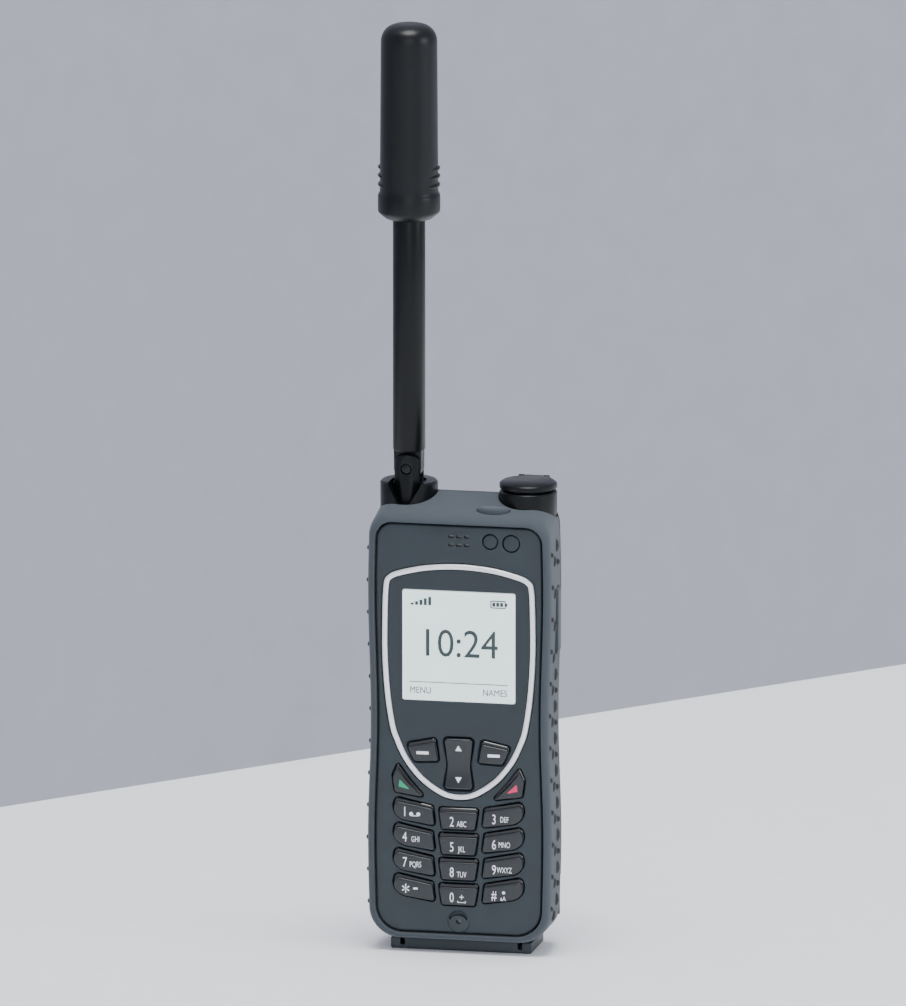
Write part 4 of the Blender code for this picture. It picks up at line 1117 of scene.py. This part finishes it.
class PHONE_OT_keys(PieceOperator):
    """Make the key caps, the rocker and their legends"""

    bl_idname = "phone.keys"
    bl_label = "Keys"

    def make(self):
        for node, outline in key_outlines().items():
            self.cap(node, outline)
        self.rocker()
        for node, (digit, letters) in LEGENDS.items():
            self.legend(node, digit, letters)
        low, high = mm_box("key_5")
        z = (low.z + high.z) / 2 + 0.6
        pips = [blob((side * 4.5, low.y + 0.05, z), (0.35, 0.3, 0.35)) for side in (-1, 1)]
        done(bare("key_5_pips", together(*pips)), key_plastic(), body_of_node("key_5"), "key_plastic")
        self.marks()

    def cap(self, node, outline):
        front, back = mm_box(node)[0].y, mm_box(node)[1].y
        radius = sizes().key_round
        body = body_of_node(node)
        flange = mm_box("lcd_module")[0].y
        wide = grown(outline, 0.45)
        ledge = FACE_Y - 0.1
        sections = [(back, wide), (flange, wide), (flange, outline), (ledge + 0.2, outline)]
        sections.append((ledge, grown(outline, -0.2)))
        # The near-black base shows in the shelf above the lowered cap as painted shade on the key's top edge
        base = bare(f"{node}_base", loft(sections))
        done(base, gloss_black(), body, "key_plastic", node)
        lowered = self.lowered(outline, sizes().key_shelf)
        sections = [(FACE_Y + 0.3, lowered), (front + radius, lowered)]
        for i in range(1, 7):
            angle = i / 6 * pi / 2
            sections.append((front + radius * (1 - sin(angle)), grown(lowered, -radius * (1 - cos(angle)))))
        cap = bare(f"{node}_cap", loft(sections))
        done(cap, key_plastic(), body, "key_plastic")

    def lowered(self, outline, shelf):
        """The outline pulled in a little, and its upper edge moved down to leave the shelf."""
        high = max(p.y for p in outline)
        low = min(p.y for p in outline)
        share = shelf / (high - low)
        return [Vector((p.x, low + (p.y - low) * (1 - share))) for p in grown(outline, -0.06)]

    def rocker(self):
        low, high = mm_box("nav_rocker")
        outline = rocker_outline()
        sections = [(high.y, outline), (FACE_Y + 0.2, outline)]
        for i in range(1, 7):
            angle = i / 6 * pi / 2
            y = FACE_Y + 0.2 + (low.y - FACE_Y - 0.2) * sin(angle)
            sections.append((y, grown(outline, -0.55 * (1 - cos(angle)))))
        bm = loft(sections)
        for step in range(1, 14):
            z = low.z + (high.z - low.z) * step / 14
            geometry = bm.verts[:] + bm.edges[:] + bm.faces[:]
            bmesh.ops.bisect_plane(bm, geom=geometry, plane_co=(0, 0, z), plane_no=(0, 0, 1))
        for vert in bm.verts:
            if vert.co.y < FACE_Y:
                vert.co.y += self.dip(vert.co.z) * (FACE_Y + 0.2 - vert.co.y)
        rocker = bare("nav_rocker_cap", bm)
        done(rocker, key_plastic(), "nav_rocker", "key_plastic", "nav_rocker")

    def dip(self, z):
        """How far the rocker's front sinks at a height, as a share of its rise."""
        low, high = mm_box("nav_rocker")
        middle, half = (low.z + high.z) / 2, (high.z - low.z) / 2
        return 0.75 * max(0.0, 1 - ((z - middle) / half) ** 2)

    def legend(self, node, digit, letters):
        low, high = mm_box(node)
        y = low.y - 0.005
        height = sizes().digit_height
        digit_x, small_x, drop = COLUMNS[-1 if high.x < 0 else (1 if low.x > 0 else 0)]
        base = (low.z + high.z) / 2 - drop - height / 2
        parts = []
        if digit == "*":
            parts.append(lettering("*", height * 1.5, (digit_x + 0.3, y, base - 0.7 * height), 0.9))
        else:
            parts.append(lettering(digit, height, (digit_x, y, base), 0.66))
        if letters:
            rise = (height - sizes().letter_height) / 2 if low.x > 0 else 0.0
            parts.append(lettering(letters, sizes().letter_height, (small_x, y, base + rise), 0.62))
        parts += self.symbols(node, small_x, y, base)
        made = bare(f"{node}_legend", together(*parts))
        done(made, printed("legend_white", colours().legend, 0.12), body_of_node(node), "white_card")

    def symbols(self, node, x, y, base):
        """The small marks of the keys that have no letters."""
        back = y - 0.02
        if node == "key_1":
            pair = [rod(0.62, back, y + 0.01, x - 1.3 + 2.2 * i, 0, base + 0.75, "Y", 20) for i in range(2)]
            return [*pair, block(x - 1.3, x + 0.9, back, y + 0.01, base + 0.1, base + 0.35)]
        if node == "key_star":
            return [block(x - 0.7, x + 0.7, back, y + 0.01, base + 0.9, base + 1.5, 0.2)]
        if node == "key_0":
            plus = [
                block(x - 0.7, x + 0.7, back, y + 0.01, base + 1.55, base + 1.8),
                block(x - 0.125, x + 0.125, back - 0.004, y + 0.01, base + 0.98, base + 2.37),
            ]
            space = [
                block(x - 1.2, x + 1.2, back, y + 0.01, base - 0.1, base + 0.12),
                block(x - 1.3, x - 1.1, back - 0.004, y + 0.01, base - 0.1, base + 0.5),
                block(x + 1.1, x + 1.3, back - 0.004, y + 0.01, base - 0.1, base + 0.5),
            ]
            return plus + space
        if node == "key_hash":
            case_sign = lettering("aA", 1.4, (x - 0.4, y, base - 0.2), 0.8)
            return [case_sign, rod(0.5, back, y + 0.01, x - 0.2, 0, base + 2.3, "Y", 16)]
        return []

    def marks(self):
        """Dashes of the soft keys, arrows of the rocker and the coloured call and end marks."""
        white = printed("legend_white", colours().legend, 0.12)
        for node, side in (("soft_key_left", -1), ("soft_key_right", 1)):
            y = mm_box(node)[0].y
            x0, x1 = sorted((side * 9.1, side * 12.9))
            dash = bare(f"{node}_mark", block(x0, x1, y - 0.03, y + 0.01, 61.5, 62.4, 0.2))
            done(dash, white, body_of_node(node), "white_card")
        low, high = mm_box("nav_rocker")
        arrows = []
        for z, way in ((high.z - 3.0, 1), (low.z + 3.0, -1)):
            tip = [(-1.05, z - way * 0.85, 0.1), (1.05, z - way * 0.85, 0.1), (0, z + way * 0.95, 0.1)]
            arrow = prism(rounded(tip if way > 0 else tip[::-1], 3), low.y - 0.03, low.y + 0.05)
            for vert in arrow.verts:
                vert.co.y += self.dip(vert.co.z) * (FACE_Y + 0.2 - low.y)
            arrows.append(arrow)
        done(bare("nav_rocker_arrows", together(*arrows)), white, "nav_rocker", "white_card")
        for node, side, colour in (("call_key", -1, "call"), ("end_key", 1, "end")):
            y = mm_box(node)[0].y
            corners = [(14.9, 50.4, 0.12), (18.4, 51.2, 0.12), (18.1, 53.4, 0.12)]
            mark = bare(f"{node}_mark", prism(mirrored(corners, side, 3), y - 0.03, y + 0.01))
            paint = printed(f"{colour}_mark", getattr(colours(), colour), 0.25)
            done(mark, paint, body_of_node(node), "alert_red" if side > 0 else "key_plastic")


class PHONE_OT_antenna(PieceOperator):
    """Make the antenna's head, mast, fork and collar"""

    bl_idname = "phone.antenna"
    bl_label = "Antenna"

    def make(self):
        self.head()
        refined("antenna_mast", mast_plastic(), "antenna_plastic", 0.2, 3)
        refined("antenna_slider", mast_plastic(), "antenna_plastic", 0.2, 3)
        refined("antenna_collar", mast_plastic(), "antenna_plastic", 0.3, 3)
        black_steel = textured("black_steel", (0.01, 0.011, 0.012), 0.3, metallic=0.6)
        refined("antenna_pivot_pin", black_steel, "steel", 0.15, 2)

    def head(self):
        low, high = mm_box("antenna_head")
        wide = (high.x - low.x) / 2
        body = wide - 0.6
        bore = 3.8
        z = low.z
        profile = [(0, high.z - 4.5), (body - 4.4, high.z - 5.2), (body - 2.0, high.z - 8.5)]
        profile += [(body - 2.0, z + 12.3)]
        profile += [(bore, z + 12.3), (bore, z), (wide - 2.6, z), (wide - 2.2, z + 0.15)]
        profile += [(wide - 0.35, z + 1.75), (wide - 0.05, z + 2.2), (wide, z + 2.6), (wide, z + 7.0)]
        profile += [(wide - 0.15, z + 7.5), (wide - 0.5, z + 7.9), (body, z + 8.5), (body, z + 9.2)]
        steps = 14
        profile += [(body - 0.3 * i / 4, z + 9.2 + (high.z - 6.0 - z - 9.2) * i / 4) for i in range(1, 5)]
        edge = body - 0.3
        for i in range(1, steps + 1):
            angle = i / steps * pi / 2
            profile.append((edge * max(0.0, cos(angle)) ** 0.62, high.z - 6.0 + 6.0 * sin(angle) ** 0.9))
        profile[-1] = (0, high.z)
        head = bare("antenna_head_shell", turned(profile, MAST_X, MAST_Y, steps=96))
        done(head, head_plastic(), "antenna", "antenna_plastic", "antenna_head", angle=50)
        ribs = []
        for row, (z_rib, half) in enumerate(((z + 15.6, 1.9), (z + 13.1, 2.6), (z + 10.4, 3.3))):
            for side in (-1, 1):
                ribs.append(self.rib(side, z_rib, half, body))
        made = bare("antenna_head_ribs", together(*ribs))
        done(made, head_plastic(), "antenna", "antenna_plastic", angle=60)

    def rib(self, side, z, half, radius):
        """A short rounded bar bent round the head."""
        bm = bmesh.new()
        bmesh.ops.create_uvsphere(bm, u_segments=20, v_segments=10, radius=1.0)
        bmesh.ops.scale(bm, verts=bm.verts, vec=(0.75, half * 2.0, 0.62))
        for vert in bm.verts:
            angle = vert.co.y / radius
            reach = radius - 0.1 + vert.co.x
            vert.co.x, vert.co.y = reach * cos(angle), reach * sin(angle)
        turn = Matrix.Rotation(0 if side > 0 else pi, 3, "Z")
        bmesh.ops.rotate(bm, verts=bm.verts, cent=(0, 0, 0), matrix=turn)
        bmesh.ops.translate(bm, verts=bm.verts, vec=(MAST_X, MAST_Y, z))
        return bm


class PHONE_OT_sos(PieceOperator):
    """Make the emergency button's tower, its cover and its hinge pin"""

    bl_idname = "phone.sos"
    bl_label = "Emergency Button"

    def make(self):
        refined("sos_tower", mast_plastic(), "antenna_plastic", 0.2, 3)
        refined("sos_cover", mast_plastic(), "antenna_plastic", 0.3, 3)
        refined("sos_hinge_pin", steel(), "steel", 0.1, 2)
        red = textured("alert_red", (0.50, 0.02, 0.02), 0.3, grain=0.3, depth=0.004)
        refined("sos_button", red, "alert_red", 0.3, 3)


class PHONE_OT_controls(PieceOperator):
    """Make the side and top buttons and the power socket's flap"""

    bl_idname = "phone.controls"
    bl_label = "Controls"

    def make(self):
        for node in ("power_button", "side_button", "volume_rocker", "power_port_cover"):
            refined(node, grip_rubber(), "grip_rubber", 0.35, 3)
        refined("power_jack", steel(), "steel", 0.1, 2)
        for number in range(1, 5):
            refined(f"housing_screw_{number}", steel(), "steel", 0.15, 2)
        refined("base_foot", face_plastic(), "case_plastic", 0.3, 3)


class PHONE_OT_inside(PieceOperator):
    """Give the pieces inside the case their finishes"""

    bl_idname = "phone.inside"
    bl_label = "Inside"

    def make(self):
        board = textured("board_green", (0.01, 0.12, 0.05), 0.4, grain=0.5, depth=0.01)
        gold = textured("gold_plate", (0.83, 0.62, 0.25), 0.25, metallic=1.0, depth=0.002)
        card = textured("white_card", (0.70, 0.71, 0.73), 0.5, depth=0.004)
        finishes = {
            "circuit_board": board,
            "contact_metal": gold,
            "white_card": card,
            "steel": steel(),
            "grip_rubber": grip_rubber(),
            "key_plastic": key_plastic(),
        }
        slots = {row["node"]: row["material_slot"] for row in frame["record"]["subparts"]}
        for node, cad in frame["nodes"].items():
            if not cad.hide_render:
                cad.data.materials.clear()
                cad.data.materials.append(finishes.get(slots[node], face_plastic()))


class PHONE_PT_panel(bpy.types.Panel):
    """Lists the pieces of the phone"""

    bl_idname = "PHONE_PT_panel"
    bl_label = "Satellite Phone"
    bl_space_type = "VIEW_3D"
    bl_region_type = "UI"
    bl_category = "Phone"

    def draw(self, context):
        for operator in OPERATORS:
            self.layout.operator(operator.bl_idname)
        for group in (context.scene.phone_sizes, context.scene.phone_colours):
            box = self.layout.box()
            for name in group.__annotations__:
                box.prop(group, name)


OPERATORS = (
    PHONE_OT_stage,
    PHONE_OT_face,
    PHONE_OT_grip,
    PHONE_OT_rear,
    PHONE_OT_display,
    PHONE_OT_keys,
    PHONE_OT_antenna,
    PHONE_OT_sos,
    PHONE_OT_controls,
    PHONE_OT_inside,
)
CLASSES = (PhoneSizes, PhoneColours, *OPERATORS, PHONE_PT_panel)


def register():
    for cls in CLASSES:
        bpy.utils.register_class(cls)
    bpy.types.Scene.phone_sizes = bpy.props.PointerProperty(type=PhoneSizes)
    bpy.types.Scene.phone_colours = bpy.props.PointerProperty(type=PhoneColours)


def unregister():
    del bpy.types.Scene.phone_colours
    del bpy.types.Scene.phone_sizes
    for cls in reversed(CLASSES):
        bpy.utils.unregister_class(cls)


def main():
    register()
    bpy.ops.phone.stage()
    bpy.ops.phone.face()
    bpy.ops.phone.grip()
    bpy.ops.phone.rear()
    bpy.ops.phone.display()
    bpy.ops.phone.keys()
    bpy.ops.phone.antenna()
    bpy.ops.phone.sos()
    bpy.ops.phone.controls()
    bpy.ops.phone.inside()


if __name__ == "__main__":
    main()
